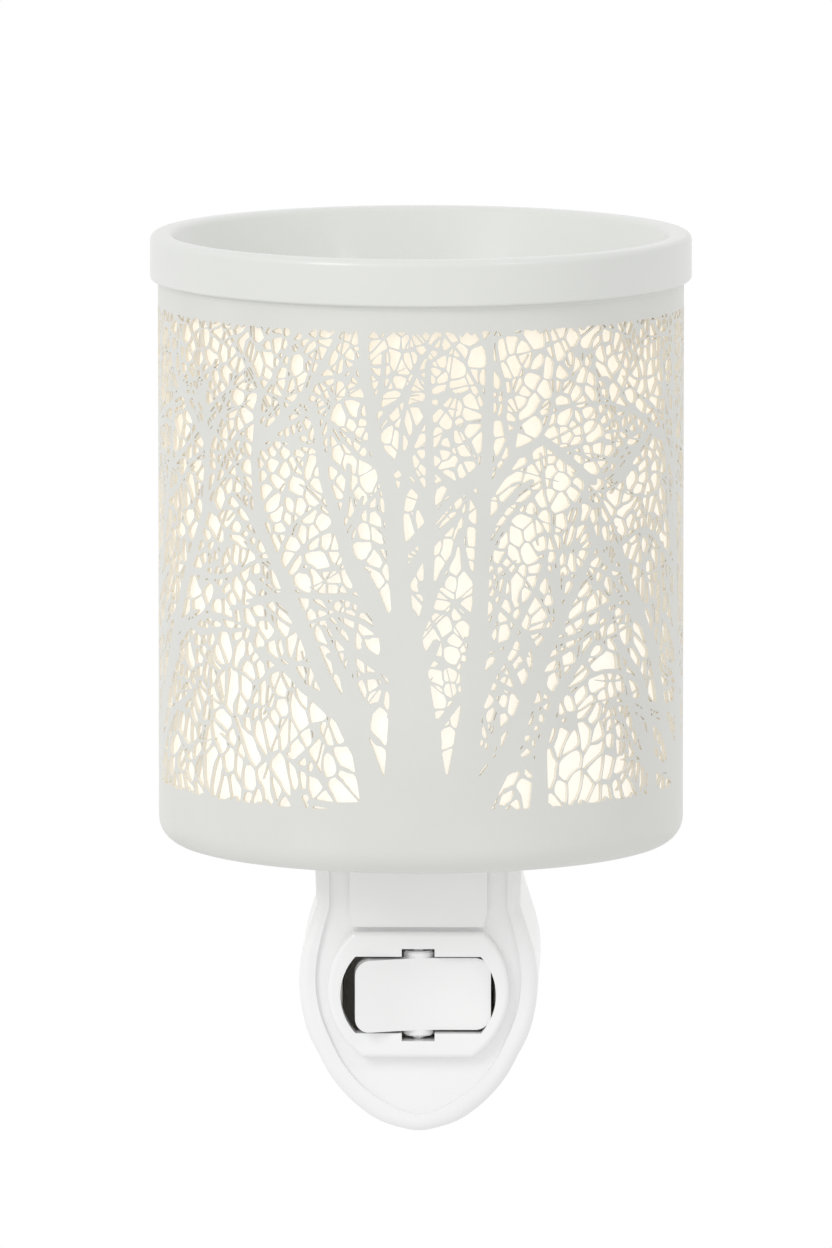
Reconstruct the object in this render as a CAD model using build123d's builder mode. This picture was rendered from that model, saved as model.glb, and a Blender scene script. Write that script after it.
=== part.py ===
"""A plug-in wax melt warmer: pierced shade, glazed dish, lamp, rocker switch and swivel plug.

Millimetres. X is to the right, Y runs back to the wall and Z is up. The origin is the middle of
the swivel plug's back face, which lies on the wall plate. A depth is a distance out from the wall.
"""

from build123d import *
import os
import random
from math import acos, asin, cos, degrees, hypot, pi, radians, sin, sqrt, tan

# Clearances and overruns
cut_overrun = 0.6
fit_clearance = 0.15
running_clearance = 0.3
edge_break = 0.3

# Shade
shade_radius = 42.5
shade_height = 91.0
shade_wall = 1.0
shade_corner = 4.1
shade_wall_gap = 6.0
pattern_bottom_margin = 10.0
pattern_top_margin = 3.0
twig_width = 0.95
cell_width = 8.4
cell_height = 11.5
smallest_opening = 2.6
smallest_edge = 1.7
panel_count = 4
web_seed = 14
jitter_share = 0.33
stagger_share = 0.5
cell_reach_share = 1.5
neighbour_share = 2.6
limb_end_share = 0.05

# Limbs of one tree, as (across, up, half width) shares of its panel's width, height and width
limb_shares = (
    ((0.02, 0.0, 0.125), (0.0, 0.07, 0.075), (-0.01, 0.23, 0.052), (-0.03, 0.4, 0.038)),
    ((-0.03, 0.4, 0.026), (-0.055, 0.65, 0.02), (-0.098, 0.77, 0.014), (-0.132, 0.99, 0.008)),
    ((-0.05, 0.36, 0.022), (-0.151, 0.5, 0.017), (-0.222, 0.685, 0.012), (-0.25, 0.84, 0.007)),
    ((0.03, 0.42, 0.012), (0.036, 0.66, 0.011), (0.03, 0.93, 0.006)),
    ((0.105, 0.0, 0.045), (0.136, 0.23, 0.024), (0.157, 0.44, 0.019), (0.166, 0.65, 0.016)),
    ((0.166, 0.65, 0.016), (0.176, 0.8, 0.012), (0.181, 0.98, 0.008)),
    ((0.166, 0.65, 0.013), (0.247, 0.74, 0.012), (0.319, 0.765, 0.01), (0.467, 0.67, 0.008)),
    ((0.131, 0.0, 0.04), (0.231, 0.128, 0.022), (0.31, 0.31, 0.017), (0.467, 0.54, 0.008)),
    ((-0.086, 0.0, 0.04), (-0.127, 0.128, 0.027), (-0.222, 0.27, 0.02), (-0.305, 0.43, 0.016)),
    ((-0.305, 0.43, 0.016), (-0.406, 0.593, 0.012), (-0.418, 0.72, 0.01), (-0.4, 0.86, 0.007)),
    ((-0.406, 0.75, 0.01), (-0.262, 0.87, 0.008), (-0.196, 0.97, 0.006)),
    ((0.306, 0.0, 0.026), (0.313, 0.128, 0.014), (0.361, 0.25, 0.011), (0.467, 0.34, 0.007)),
)

# Wax dish
rim_overhang = 1.25
rim_height = 8.0
rim_band = 4.8
rim_upper_round = 1.5
spigot_depth = 3.5
spigot_clearance = 0.4
bowl_depth = 24.3
bowl_draft = 8.5
bowl_round = 7.0
dish_wall = 2.5

# Frosted liner
liner_wall = 1.2
liner_lift = 2.1

# Plug housing
plug_half_width = 19.1
widest_z = 2.9
lower_arc_radius = 26.7
shoulder_arc_radius = 32.55
tip_round = 3.5
neck_half_width = 17.0
neck_top_z = 22.3
front_reach = 20.0
rear_reach = 17.0
housing_wall = 2.0
face_edge_round = 1.6
rear_edge_round = 1.2
ridge_inset = 2.6
panel_recess = 0.7
bezel_rise = 1.5
bezel_half_width = 14.6
bezel_half_height = 10.2
bezel_top_flat = 10.5
bezel_bottom_flat = 8.6
bezel_round = 0.8
crease_width = 0.7
neck_panel_half_width = 11.1
neck_panel_shoulder = 2.6
screw_boss_radius = 2.6
upper_screw_x = 12.4
upper_screw_z = 14.0
lower_screw_z = -18.6

# Switch
opening_half_width = 12.55
opening_half_height = 6.25
opening_flat = 10.1
notch_width = 5.3
notch_height = 1.25
rocker_half_length = 11.1
rocker_foot_half_length = 10.3
rocker_gap = 0.4
rocker_edge_rise = 4.2
rocker_skirt = 1.0
rocker_blend_radius = 25.0
rocker_corner_radius = 2.4
rocker_wall = 1.2
pivot_setback = 3.4
facet_degrees = 11.0
pin_radius = 0.9
pin_length = 2.75
lug_half_width = 2.6
lug_height = 1.5
lug_depth = 2.7
sleeve_radius = 2.6
sleeve_length = 3.2
plunger_radius = 1.5
plunger_reach = 7.0
plunger_length = 4.3
spring_wall = 0.5
base_half_width = 13.6
base_half_height = 10.6
base_corner = 4.0
base_depth = 13.0
base_wall = 1.3
seesaw_degrees = 8.0
seesaw_half_length = 6.5
seesaw_half_width = 2.5
seesaw_thickness = 0.8
seesaw_rise = 0.4
terminal_thickness = 0.6
terminal_half_width = 2.0
terminal_tail = 3.0
button_radius = 1.1
button_height = 0.8
button_x = 5.6

# Lampholder and shade fixing
holder_radius = 10.5
holder_foot_radius = 8.5
holder_flange_radius = 11.8
holder_flange_height = 2.0
holder_foot_drop = 10.3
holder_top_rise = 21.7
holder_bore_radius = 7.0
holder_floor_rise = 2.2
holder_core_radius = 2.6
screw_shell_radius = 6.6
screw_shell_wall = 0.4
screw_shell_height = 15.0
screw_shell_lift = 2.5
tab_half_width = 2.0
tab_reach = 2.4
contact_radius = 3.6
contact_height = 3.3
contact_pip_radius = 1.5
strip_thickness = 0.6
strip_half_width = 2.5
washer_thickness = 0.6
ring_nut_radius = 15.0
ring_nut_height = 4.5
ring_nut_notches = 12
ring_nut_notch_radius = 1.2

# Lamp
lamp_lift = 0.3
lamp_cap_radius = 5.95
lamp_cap_wall = 0.4
lamp_cap_height = 14.2
lamp_insulator_height = 2.6
lamp_insulator_share = 0.62
lamp_tip_radius = 2.2
lamp_tip_height = 0.8
glass_radius = 11.0
glass_height = 39.0
glass_wall = 0.7
glass_sink = 2.0
glass_shares = ((0.45, 0.0), (0.58, 0.17), (1.0, 0.46), (0.82, 0.75), (0.25, 1.0))
stem_height = 12.0
stem_foot_radius = 4.3
stem_top_radius = 1.6
lead_radius = 0.3
lead_height = 8.0
lead_spread = 4.0
wire_sides = 6

# Swivel plug
disc_radius = 15.5
disc_thickness = 8.0
disc_edge_break = 0.8
hub_wall = 2.2
hub_length = 16.0
hub_floor = 2.0
boss_radius = 16.0
boss_bore_radius = 14.0
collar_thickness = 2.5
ring_thickness = 1.0
ring_radius = 13.4
ring_groove = 1.1
ring_mouth = 9.0
blade_length = 17.5
blade_thickness = 1.5
line_blade_width = 6.35
neutral_blade_width = 7.9
blade_spacing = 12.7
blade_margin = 1.7
blade_hole_radius = 1.6
blade_hole_reach = 11.7
blade_chamfer = 1.4
carrier_thickness = 4.4
slip_ring_half_width = 1.15
slip_ring_thickness = 0.8
slip_pin_radius = 2.0
slip_pin_proud = 2.5
slip_arm_thickness = 1.6

# Screws
screw_radius = 1.2
screw_head_radius = 2.2
screw_head_height = 1.4
screw_bite = 10.5
counterbore_depth = 1.5

# Heights and depths that follow from the sizes above
rim_radius = shade_radius + rim_overhang
axis_depth = shade_radius + shade_wall_gap
shade_bottom_z = neck_top_z
shade_floor_z = shade_bottom_z + shade_wall
shade_top_z = shade_bottom_z + shade_height
dish_top_z = shade_top_z + rim_height
liner_bottom_z = shade_floor_z + liner_lift
spigot_bottom_z = shade_top_z - spigot_depth
face_depth = axis_depth + front_reach
bezel_depth = face_depth + bezel_rise
rear_depth = axis_depth - rear_reach
inner_front_depth = face_depth - housing_wall
inner_rear_depth = rear_depth + housing_wall
roof_z = neck_top_z - housing_wall
pivot_depth = bezel_depth - pivot_setback
collar_depth = disc_thickness + running_clearance
hub_end_depth = disc_thickness + hub_length
base_rear_depth = inner_front_depth - base_depth
hub_bore_radius = (blade_spacing + blade_thickness) / 2 + blade_margin
hub_radius = hub_bore_radius + hub_wall
slip_ring_inner = blade_spacing / 2 - slip_ring_half_width
slip_ring_outer = blade_spacing / 2 + slip_ring_half_width

lamp_plane = Plane.XZ.offset(axis_depth)
lamp_axis = Axis((0, -axis_depth, 0), (0, 0, 1))
pieces = {}


def front_plane(depth):
    """A plane facing the viewer at a depth out from the wall."""
    return Plane.XZ.offset(depth)


def level_plane(height):
    """A level plane centred on the lamp's axis."""
    return Plane(origin=(0, -axis_depth, height), x_dir=(1, 0, 0), z_dir=(0, 0, 1))


def side_plane():
    """The middle plane, with depth as its X and height as its Y."""
    return Plane(origin=(0, 0, 0), x_dir=(0, -1, 0), z_dir=(-1, 0, 0))


def profile(*corners):
    """A closed outline from corners, each given as across, up and the rounding there."""
    with BuildLine() as outline:
        FilletPolyline(
            *[(across, up) for across, up, _ in corners],
            radius=[rounding for _, _, rounding in corners],
            close=True,
        )
    make_face(outline.edges())


def keep(name, piece):
    """Labels a finished piece and puts it on the list that is written out."""
    piece.part.label = name
    pieces[name] = piece.part


# Wax dish: rim on the shade's edge, locating spigot inside it, and a bowl that narrows downwards
bowl_floor_z = dish_top_z - bowl_depth
bowl_mouth_radius = rim_radius - rim_band
bowl_floor_radius = bowl_mouth_radius - bowl_draft
spigot_radius = shade_radius - shade_wall - spigot_clearance
bowl_slope = bowl_draft / bowl_depth
shoulder_radius = bowl_floor_radius + dish_wall + bowl_slope * (spigot_bottom_z - bowl_floor_z)
with BuildPart() as wax_dish:
    with BuildSketch(lamp_plane):
        profile(
            (0, bowl_floor_z - dish_wall, 0),
            (bowl_floor_radius, bowl_floor_z - dish_wall, 0),
            (bowl_floor_radius + dish_wall, bowl_floor_z, 0),
            (shoulder_radius, spigot_bottom_z, 0),
            (spigot_radius, spigot_bottom_z, 0),
            (spigot_radius, shade_top_z, 0),
            (rim_radius - edge_break, shade_top_z, 0),
            (rim_radius, shade_top_z + edge_break, 0),
            (rim_radius, dish_top_z, rim_upper_round),
            (bowl_mouth_radius, dish_top_z, rim_upper_round),
            (bowl_floor_radius, bowl_floor_z, bowl_round),
            (0, bowl_floor_z, 0),
        )
    revolve(axis=lamp_axis)
keep("wax_dish", wax_dish)


# Web of twigs: one cell around each seed, narrowed by the twigs and cut back by the limbs
around = 2 * pi * shade_radius
panel_width = around / panel_count
pattern_bottom = shade_bottom_z + pattern_bottom_margin
pattern_top = shade_top_z - pattern_top_margin
panel_height = pattern_top - pattern_bottom


def tree_limbs():
    """Every limb segment around the shade, as two ends with their half widths."""
    segments = []
    for panel in range(-1, panel_count + 1):
        facing = -1 if panel % 2 else 1
        for limb in limb_shares:
            ends = [
                (
                    panel_width * (panel + facing * across),
                    pattern_bottom + panel_height * up,
                    panel_width * half,
                )
                for across, up, half in limb
            ]
            segments += list(zip(ends, ends[1:]))
    return segments


def web_seeds():
    """Seeds of the web in staggered rows, each moved a little from its place."""
    dice = random.Random(web_seed)
    rows = round(panel_height / cell_height)
    columns = round(around / cell_width)
    row_step = panel_height / rows
    column_step = around / columns
    seeds = []
    for row in range(rows):
        for column in range(columns):
            aside = stagger_share * (row % 2) + dice.uniform(-jitter_share, jitter_share)
            across = column_step * (column + aside)
            up = row_step * (row + stagger_share + dice.uniform(-jitter_share, jitter_share))
            seeds.append((across, pattern_bottom + up))
    return seeds


def kept_side(cell, point, normal):
    """What is left of a convex cell behind a line through a point."""
    kept = []
    for start, end in zip(cell, cell[1:] + cell[:1]):
        here = (start[0] - point[0]) * normal[0] + (start[1] - point[1]) * normal[1]
        there = (end[0] - point[0]) * normal[0] + (end[1] - point[1]) * normal[1]
        if here <= 0:
            kept.append(start)
        if here * there < 0:
            share = here / (here - there)
            kept.append(
                (start[0] + share * (end[0] - start[0]), start[1] + share * (end[1] - start[1]))
            )
    return kept


def without_short_edges(cell):
    """The same cell with corners that lie close together made one."""
    kept = []
    for corner in cell:
        if not kept or hypot(corner[0] - kept[-1][0], corner[1] - kept[-1][1]) > smallest_edge:
            kept.append(corner)
    if len(kept) > 1 and hypot(kept[0][0] - kept[-1][0], kept[0][1] - kept[-1][1]) <= smallest_edge:
        kept.pop()
    return kept


def cell_area(cell):
    """The area of a flat cell."""
    turns = [a[0] * b[1] - b[0] * a[1] for a, b in zip(cell, cell[1:] + cell[:1])]
    return abs(sum(turns)) / 2


def opening(seed, neighbours, limbs):
    """The cell around a seed, or nothing where a limb covers it."""
    reach = cell_reach_share * cell_height
    low = max(seed[1] - reach, pattern_bottom)
    high = min(seed[1] + reach, pattern_top)
    cell = [
        (seed[0] - reach, low),
        (seed[0] + reach, low),
        (seed[0] + reach, high),
        (seed[0] - reach, high),
    ]
    for other in neighbours:
        gap = hypot(other[0] - seed[0], other[1] - seed[1])
        normal = ((other[0] - seed[0]) / gap, (other[1] - seed[1]) / gap)
        back = gap / 2 - twig_width / 2
        cell = kept_side(cell, (seed[0] + back * normal[0], seed[1] + back * normal[1]), normal)
    for (x0, z0, half0), (x1, z1, half1) in limbs:
        length = hypot(x1 - x0, z1 - z0)
        along = ((x1 - x0) / length, (z1 - z0) / length)
        share = ((seed[0] - x0) * along[0] + (seed[1] - z0) * along[1]) / length
        if not -limb_end_share <= share <= 1 + limb_end_share:
            continue
        aside = (seed[0] - x0) * along[1] - (seed[1] - z0) * along[0]
        side = 1 if aside >= 0 else -1
        if abs(aside) <= half0 + share * (half1 - half0):
            return []
        start = (x0 + side * half0 * along[1], z0 - side * half0 * along[0])
        end = (x1 + side * half1 * along[1], z1 - side * half1 * along[0])
        edge = hypot(end[0] - start[0], end[1] - start[1])
        normal = (-side * (end[1] - start[1]) / edge, side * (end[0] - start[0]) / edge)
        cell = kept_side(cell, start, normal)
    cell = without_short_edges(cell)
    return cell if len(cell) > 2 and cell_area(cell) > smallest_opening**2 else []


def shade_openings():
    """All openings of the web, as outlines on the unrolled shade."""
    limbs = tree_limbs()
    seeds = web_seeds()
    ring = [(across + turn * around, up) for turn in (-1, 0, 1) for across, up in seeds]
    near = neighbour_share * cell_height
    cells = []
    for seed in seeds:
        neighbours = [
            other for other in ring if other != seed and hypot(other[0] - seed[0], other[1] - seed[1]) < near
        ]
        close = [
            limb
            for limb in limbs
            if min(limb[0][0], limb[1][0]) - near < seed[0] < max(limb[0][0], limb[1][0]) + near
        ]
        cell = opening(seed, neighbours, close)
        if cell:
            cells.append(cell)
    return cells


def wall_plane(across):
    """The plane that touches the shade's wall at a place around it, with its Y upwards."""
    angle = across / shade_radius
    outward = Vector(sin(angle), -cos(angle), 0)
    return Plane(
        origin=Vector(0, -axis_depth, 0) + outward * shade_radius,
        x_dir=(cos(angle), sin(angle), 0),
        z_dir=outward,
    )


# Shade: a drawn cup with a rounded lower corner, pierced all round
holder_hole_radius = holder_radius + running_clearance
with BuildPart() as shade:
    with BuildSketch(lamp_plane):
        profile(
            (holder_hole_radius, shade_bottom_z, 0),
            (shade_radius, shade_bottom_z, shade_corner),
            (shade_radius, shade_top_z, 0),
            (shade_radius - shade_wall, shade_top_z, 0),
            (shade_radius - shade_wall, shade_floor_z, shade_corner - shade_wall),
            (holder_hole_radius, shade_floor_z, 0),
        )
    revolve(axis=lamp_axis)
    for cell in shade_openings():
        middle = sum(corner[0] for corner in cell) / len(cell)
        with BuildSketch(wall_plane(middle)):
            Polygon(
                *[(shade_radius * sin((x - middle) / shade_radius), z) for x, z in cell],
                align=None,
            )
    extrude(amount=2 * shade_wall + cut_overrun, both=True, mode=Mode.SUBTRACT)
keep("shade", shade)

# Frosted liner: a plain tube that stands in the shade's rounded corner, below the dish's spigot
liner_radius = shade_radius - shade_wall - running_clearance
with BuildPart() as diffuser_sleeve:
    with BuildSketch(level_plane(liner_bottom_z)):
        Circle(liner_radius)
        Circle(liner_radius - liner_wall, mode=Mode.SUBTRACT)
    extrude(amount=spigot_bottom_z - running_clearance - liner_bottom_z)
keep("diffuser_sleeve", diffuser_sleeve)


# Plug housing outline
def plug_outline(inset, top_z):
    """The housing seen from the front, drawn in from its edge: neck, shoulders and pointed end."""
    lower_x = plug_half_width - lower_arc_radius
    lower = lower_arc_radius - inset
    shoulder_x = plug_half_width - shoulder_arc_radius
    shoulder = shoulder_arc_radius - inset
    neck = neck_half_width - inset
    shoulder_rise = sqrt(shoulder**2 - (neck - shoulder_x) ** 2)
    lower_sweep = degrees(acos(-lower_x / lower))
    with BuildLine() as outline:
        CenterArc((lower_x, widest_z), lower, -lower_sweep, lower_sweep)
        CenterArc((shoulder_x, widest_z), shoulder, 0, degrees(asin(shoulder_rise / shoulder)))
        Polyline((neck, widest_z + shoulder_rise), (neck, top_z), (0, top_z))
        mirror(about=Plane.YZ)
    face = make_face(outline.edges())
    fillet(face.vertices().group_by(Axis.Y)[0], tip_round)


def barrel(top_flat, bottom_flat, half_width, half_height):
    """A flat-topped outline with bowed ends."""
    with BuildLine() as outline:
        Line((-top_flat, half_height), (top_flat, half_height))
        ThreePointArc((top_flat, half_height), (half_width, 0), (bottom_flat, -half_height))
        Line((bottom_flat, -half_height), (-bottom_flat, -half_height))
        ThreePointArc((-bottom_flat, -half_height), (-half_width, 0), (-top_flat, half_height))
    make_face(outline.edges())


screw_places = (
    (-upper_screw_x, upper_screw_z),
    (upper_screw_x, upper_screw_z),
    (0, lower_screw_z),
)
lug_low_z = opening_half_height + notch_height
lug_high_z = lug_low_z + lug_height
pin_end_z = opening_half_height - rocker_gap + pin_length
pin_hole_radius = pin_radius + fit_clearance
panel_depth = face_depth - panel_recess
bezel_top_z = bezel_half_height + crease_width

# Front shell: rounded edge, ridge, sunk panel, raised bezel with the switch opening, pivot lugs
with BuildPart() as front_shell:
    with BuildSketch(front_plane(axis_depth)):
        plug_outline(0, neck_top_z)
    extrude(amount=front_reach)
    rim_edges = front_shell.edges().group_by(Axis.Y)[0].sort_by(Axis.Z)[:-1]
    fillet(rim_edges, face_edge_round)
    with BuildSketch(front_plane(face_depth)):
        plug_outline(ridge_inset, neck_top_z)
    extrude(amount=-panel_recess, mode=Mode.SUBTRACT)
    with BuildSketch(front_plane(panel_depth)):
        profile(
            (-neck_panel_half_width, neck_top_z, 0),
            (-neck_panel_half_width, bezel_top_z + neck_panel_shoulder, neck_panel_shoulder),
            (-bezel_top_flat, bezel_top_z, 0),
            (bezel_top_flat, bezel_top_z, 0),
            (neck_panel_half_width, bezel_top_z + neck_panel_shoulder, neck_panel_shoulder),
            (neck_panel_half_width, neck_top_z, 0),
        )
    extrude(amount=panel_recess + edge_break)
    with BuildSketch(front_plane(panel_depth)):
        barrel(bezel_top_flat, bezel_bottom_flat, bezel_half_width, bezel_half_height)
    extrude(amount=bezel_depth - panel_depth)
    fillet(front_shell.edges().group_by(Axis.Y)[0], bezel_round)
    with BuildSketch(front_plane(axis_depth)):
        plug_outline(housing_wall, roof_z)
    extrude(amount=inner_front_depth - axis_depth, mode=Mode.SUBTRACT)
    with BuildSketch(front_plane(axis_depth)):
        with Locations(*screw_places):
            Circle(screw_boss_radius)
    extrude(amount=inner_front_depth - axis_depth)
    with BuildSketch(front_plane(inner_front_depth)):
        for side in (-1, 1):
            with Locations((0, side * (lug_low_z + lug_high_z) / 2)):
                Rectangle(2 * lug_half_width, lug_height)
    extrude(amount=-lug_depth)
    with BuildSketch(front_plane(axis_depth)):
        with Locations(*screw_places):
            Circle(screw_radius + fit_clearance / 2)
    extrude(amount=screw_bite + cut_overrun, mode=Mode.SUBTRACT)
    with BuildSketch(front_plane(bezel_depth)):
        barrel(opening_flat, opening_flat, opening_half_width, opening_half_height)
        Rectangle(notch_width, 2 * lug_low_z)
    extrude(amount=-(bezel_depth - inner_front_depth), mode=Mode.SUBTRACT)
    with BuildSketch(Plane(origin=(0, -pivot_depth, 0), x_dir=(1, 0, 0), z_dir=(0, 0, 1))):
        Circle(pin_hole_radius)
    extrude(amount=pin_end_z + fit_clearance, both=True, mode=Mode.SUBTRACT)
    with BuildSketch(level_plane(roof_z)):
        Circle(holder_hole_radius)
    extrude(amount=housing_wall, mode=Mode.SUBTRACT)
keep("front_shell", front_shell)

# Rear shell: shallow tray with a round boss that carries the swivel plug
screw_hole_radius = screw_radius + running_clearance
counterbore_radius = screw_head_radius + running_clearance
with BuildPart() as rear_shell:
    with BuildSketch(front_plane(rear_depth)):
        plug_outline(0, neck_top_z)
    extrude(amount=rear_reach)
    back_edges = rear_shell.edges().group_by(Axis.Y)[-1].sort_by(Axis.Z)[:-1]
    fillet(back_edges, rear_edge_round)
    with BuildSketch(front_plane(collar_depth)):
        Circle(boss_radius)
    extrude(amount=rear_depth - collar_depth)
    with BuildSketch(front_plane(inner_rear_depth)):
        plug_outline(housing_wall, roof_z)
    extrude(amount=axis_depth - inner_rear_depth, mode=Mode.SUBTRACT)
    with BuildSketch(front_plane(inner_rear_depth)):
        with Locations(*screw_places):
            Circle(screw_boss_radius)
    extrude(amount=axis_depth - inner_rear_depth)
    with BuildSketch(front_plane(collar_depth + collar_thickness)):
        Circle(boss_bore_radius)
    extrude(amount=inner_rear_depth - collar_depth - collar_thickness, mode=Mode.SUBTRACT)
    with BuildSketch(front_plane(collar_depth)):
        Circle(hub_radius + running_clearance)
    extrude(amount=collar_thickness, mode=Mode.SUBTRACT)
    with BuildSketch(front_plane(rear_depth)):
        with Locations(*screw_places):
            Circle(screw_hole_radius)
    extrude(amount=rear_reach, mode=Mode.SUBTRACT)
    with BuildSketch(front_plane(rear_depth)):
        with Locations(*screw_places):
            Circle(counterbore_radius)
    extrude(amount=counterbore_depth, mode=Mode.SUBTRACT)
    with BuildSketch(level_plane(roof_z)):
        Circle(holder_hole_radius)
    extrude(amount=housing_wall, mode=Mode.SUBTRACT)
keep("rear_shell", rear_shell)

# Housing screws: three alike, driven from behind
screw_seat_depth = rear_depth + counterbore_depth
with BuildPart() as housing_screws:
    with BuildSketch(front_plane(screw_seat_depth)):
        with Locations(*screw_places):
            Circle(screw_radius)
    extrude(amount=axis_depth + screw_bite - screw_seat_depth)
    with BuildSketch(front_plane(screw_seat_depth)):
        with Locations(*screw_places):
            Circle(screw_head_radius)
    extrude(amount=-screw_head_height)
keep("housing_screws", housing_screws)


def tilted_plane(depth, tilt):
    """A level plane at a pivot, with X along the rocker and Y to the viewer, right end tilted in."""
    angle = radians(tilt)
    return Plane(
        origin=(0, -depth, 0), x_dir=(cos(angle), sin(angle), 0), z_dir=(0, 0, -1)
    )


def rocker_face(reach):
    """A plane square to the tilted rocker, at a reach from its pivot towards the viewer."""
    angle = radians(facet_degrees)
    outward = Vector(sin(angle), -cos(angle), 0)
    return Plane(
        origin=Vector(0, -pivot_depth, 0) + outward * reach,
        x_dir=(cos(angle), sin(angle), 0),
        z_dir=outward,
    )


# Rocker: hollow-faced key with its right end pressed in, pivot pins and a sleeve for the plunger
rocker_half_height = opening_half_height - rocker_gap
valley = rocker_edge_rise - rocker_half_length * tan(radians(facet_degrees))
sleeve_bore_radius = plunger_radius + fit_clearance
spring_top = valley - rocker_wall
pocket_length = rocker_foot_half_length - rocker_wall - sleeve_radius
with BuildPart() as rocker:
    with BuildSketch(tilted_plane(pivot_depth, facet_degrees)):
        profile(
            (-rocker_half_length, rocker_edge_rise, 0),
            (0, valley, rocker_blend_radius),
            (rocker_half_length, rocker_edge_rise, 0),
            (rocker_foot_half_length, -rocker_skirt, 0),
            (-rocker_foot_half_length, -rocker_skirt, 0),
        )
    extrude(amount=rocker_half_height, both=True)
    fillet(
        rocker.edges().filter_by(Axis.Z, reverse=True).filter_by(GeomType.LINE).group_by(SortBy.LENGTH)[0],
        rocker_corner_radius,
    )
    with BuildSketch(rocker_face(-rocker_skirt)):
        for side in (-1, 1):
            with Locations((side * (sleeve_radius + pocket_length / 2), 0)):
                Rectangle(pocket_length, 2 * (rocker_half_height - rocker_wall))
    extrude(amount=rocker_skirt, mode=Mode.SUBTRACT)
    with BuildSketch(rocker_face(-rocker_skirt - sleeve_length)):
        Circle(sleeve_radius)
    extrude(amount=sleeve_length)
    with BuildSketch(tilted_plane(pivot_depth, facet_degrees)):
        Circle(pin_radius)
    extrude(amount=pin_end_z, both=True)
    with BuildSketch(rocker_face(-rocker_skirt - sleeve_length)):
        Circle(sleeve_bore_radius)
    extrude(amount=rocker_skirt + sleeve_length + spring_top, mode=Mode.SUBTRACT)
keep("rocker", rocker)

# Plunger and its spring: in the rocker's sleeve, pressing on the rocking contact
tilt = radians(facet_degrees)
rocker_axis = Axis((0, -pivot_depth, 0), (sin(tilt), -cos(tilt), 0))
plunger_top = plunger_length - plunger_reach
with BuildPart() as rocker_plunger:
    with BuildSketch(tilted_plane(pivot_depth, facet_degrees)):
        profile(
            (0, -plunger_reach, 0),
            (plunger_radius / 2, -plunger_reach, 0),
            (plunger_radius, -plunger_reach + plunger_radius / 2, 0),
            (plunger_radius, plunger_top, 0),
            (0, plunger_top, 0),
        )
    revolve(axis=rocker_axis)
keep("rocker_plunger", rocker_plunger)

with BuildPart() as rocker_spring:
    with BuildSketch(rocker_face(plunger_top)):
        Circle(plunger_radius)
        Circle(plunger_radius - spring_wall, mode=Mode.SUBTRACT)
    extrude(amount=spring_top - plunger_top)
keep("rocker_spring", rocker_spring)

# Rocking contact: a flat bar that tilts against the rocker and closes on the line button
seesaw_top = seesaw_rise + seesaw_thickness
seesaw_depth = pivot_depth - plunger_reach - running_clearance - seesaw_top
with BuildPart() as contact_seesaw:
    with BuildSketch(tilted_plane(seesaw_depth, -seesaw_degrees)):
        profile(
            (-seesaw_half_length, seesaw_rise, 0),
            (seesaw_half_length, seesaw_rise, 0),
            (seesaw_half_length, seesaw_top, edge_break),
            (-seesaw_half_length, seesaw_top, edge_break),
        )
    extrude(amount=seesaw_half_width, both=True)
keep("contact_seesaw", contact_seesaw)

# Switch base: a cup behind the face, with slots for the terminals and a stop for the bar
seesaw_angle = radians(seesaw_degrees)
seesaw_drop = seesaw_half_length * sin(seesaw_angle) - seesaw_rise * cos(seesaw_angle)
button_depth = seesaw_depth - seesaw_drop - running_clearance
terminal_slot = terminal_thickness + 2 * fit_clearance
with BuildPart() as switch_base:
    with BuildSketch(front_plane(base_rear_depth)):
        RectangleRounded(2 * base_half_width, 2 * base_half_height, base_corner)
    extrude(amount=base_depth)
    with BuildSketch(front_plane(base_rear_depth + base_wall)):
        RectangleRounded(
            2 * (base_half_width - base_wall),
            2 * (base_half_height - base_wall),
            base_corner - base_wall,
        )
    extrude(amount=base_depth - base_wall, mode=Mode.SUBTRACT)
    with BuildSketch(front_plane(base_rear_depth + base_wall)):
        with Locations((button_x, 0)):
            Rectangle(2 * button_radius, 2 * terminal_half_width)
    extrude(amount=button_depth - base_rear_depth - base_wall)
    with BuildSketch(front_plane(base_rear_depth)):
        Rectangle(terminal_slot, 2 * (seesaw_half_width + fit_clearance))
        with Locations((-button_x, 0)):
            Rectangle(terminal_slot, 2 * (terminal_half_width + fit_clearance))
    extrude(amount=base_wall, mode=Mode.SUBTRACT)
keep("switch_base", switch_base)

# Line terminal: a blade through the base with a contact button on its end
tail_depth = base_rear_depth - terminal_tail
with BuildPart() as terminal_line:
    with BuildSketch(front_plane(tail_depth)):
        with Locations((-button_x, 0)):
            Rectangle(terminal_thickness, 2 * terminal_half_width)
    extrude(amount=button_depth - button_height - tail_depth)
    with BuildSketch(front_plane(button_depth - button_height)):
        with Locations((-button_x, 0)):
            Circle(button_radius)
    extrude(amount=button_height)
keep("terminal_line", terminal_line)

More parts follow.
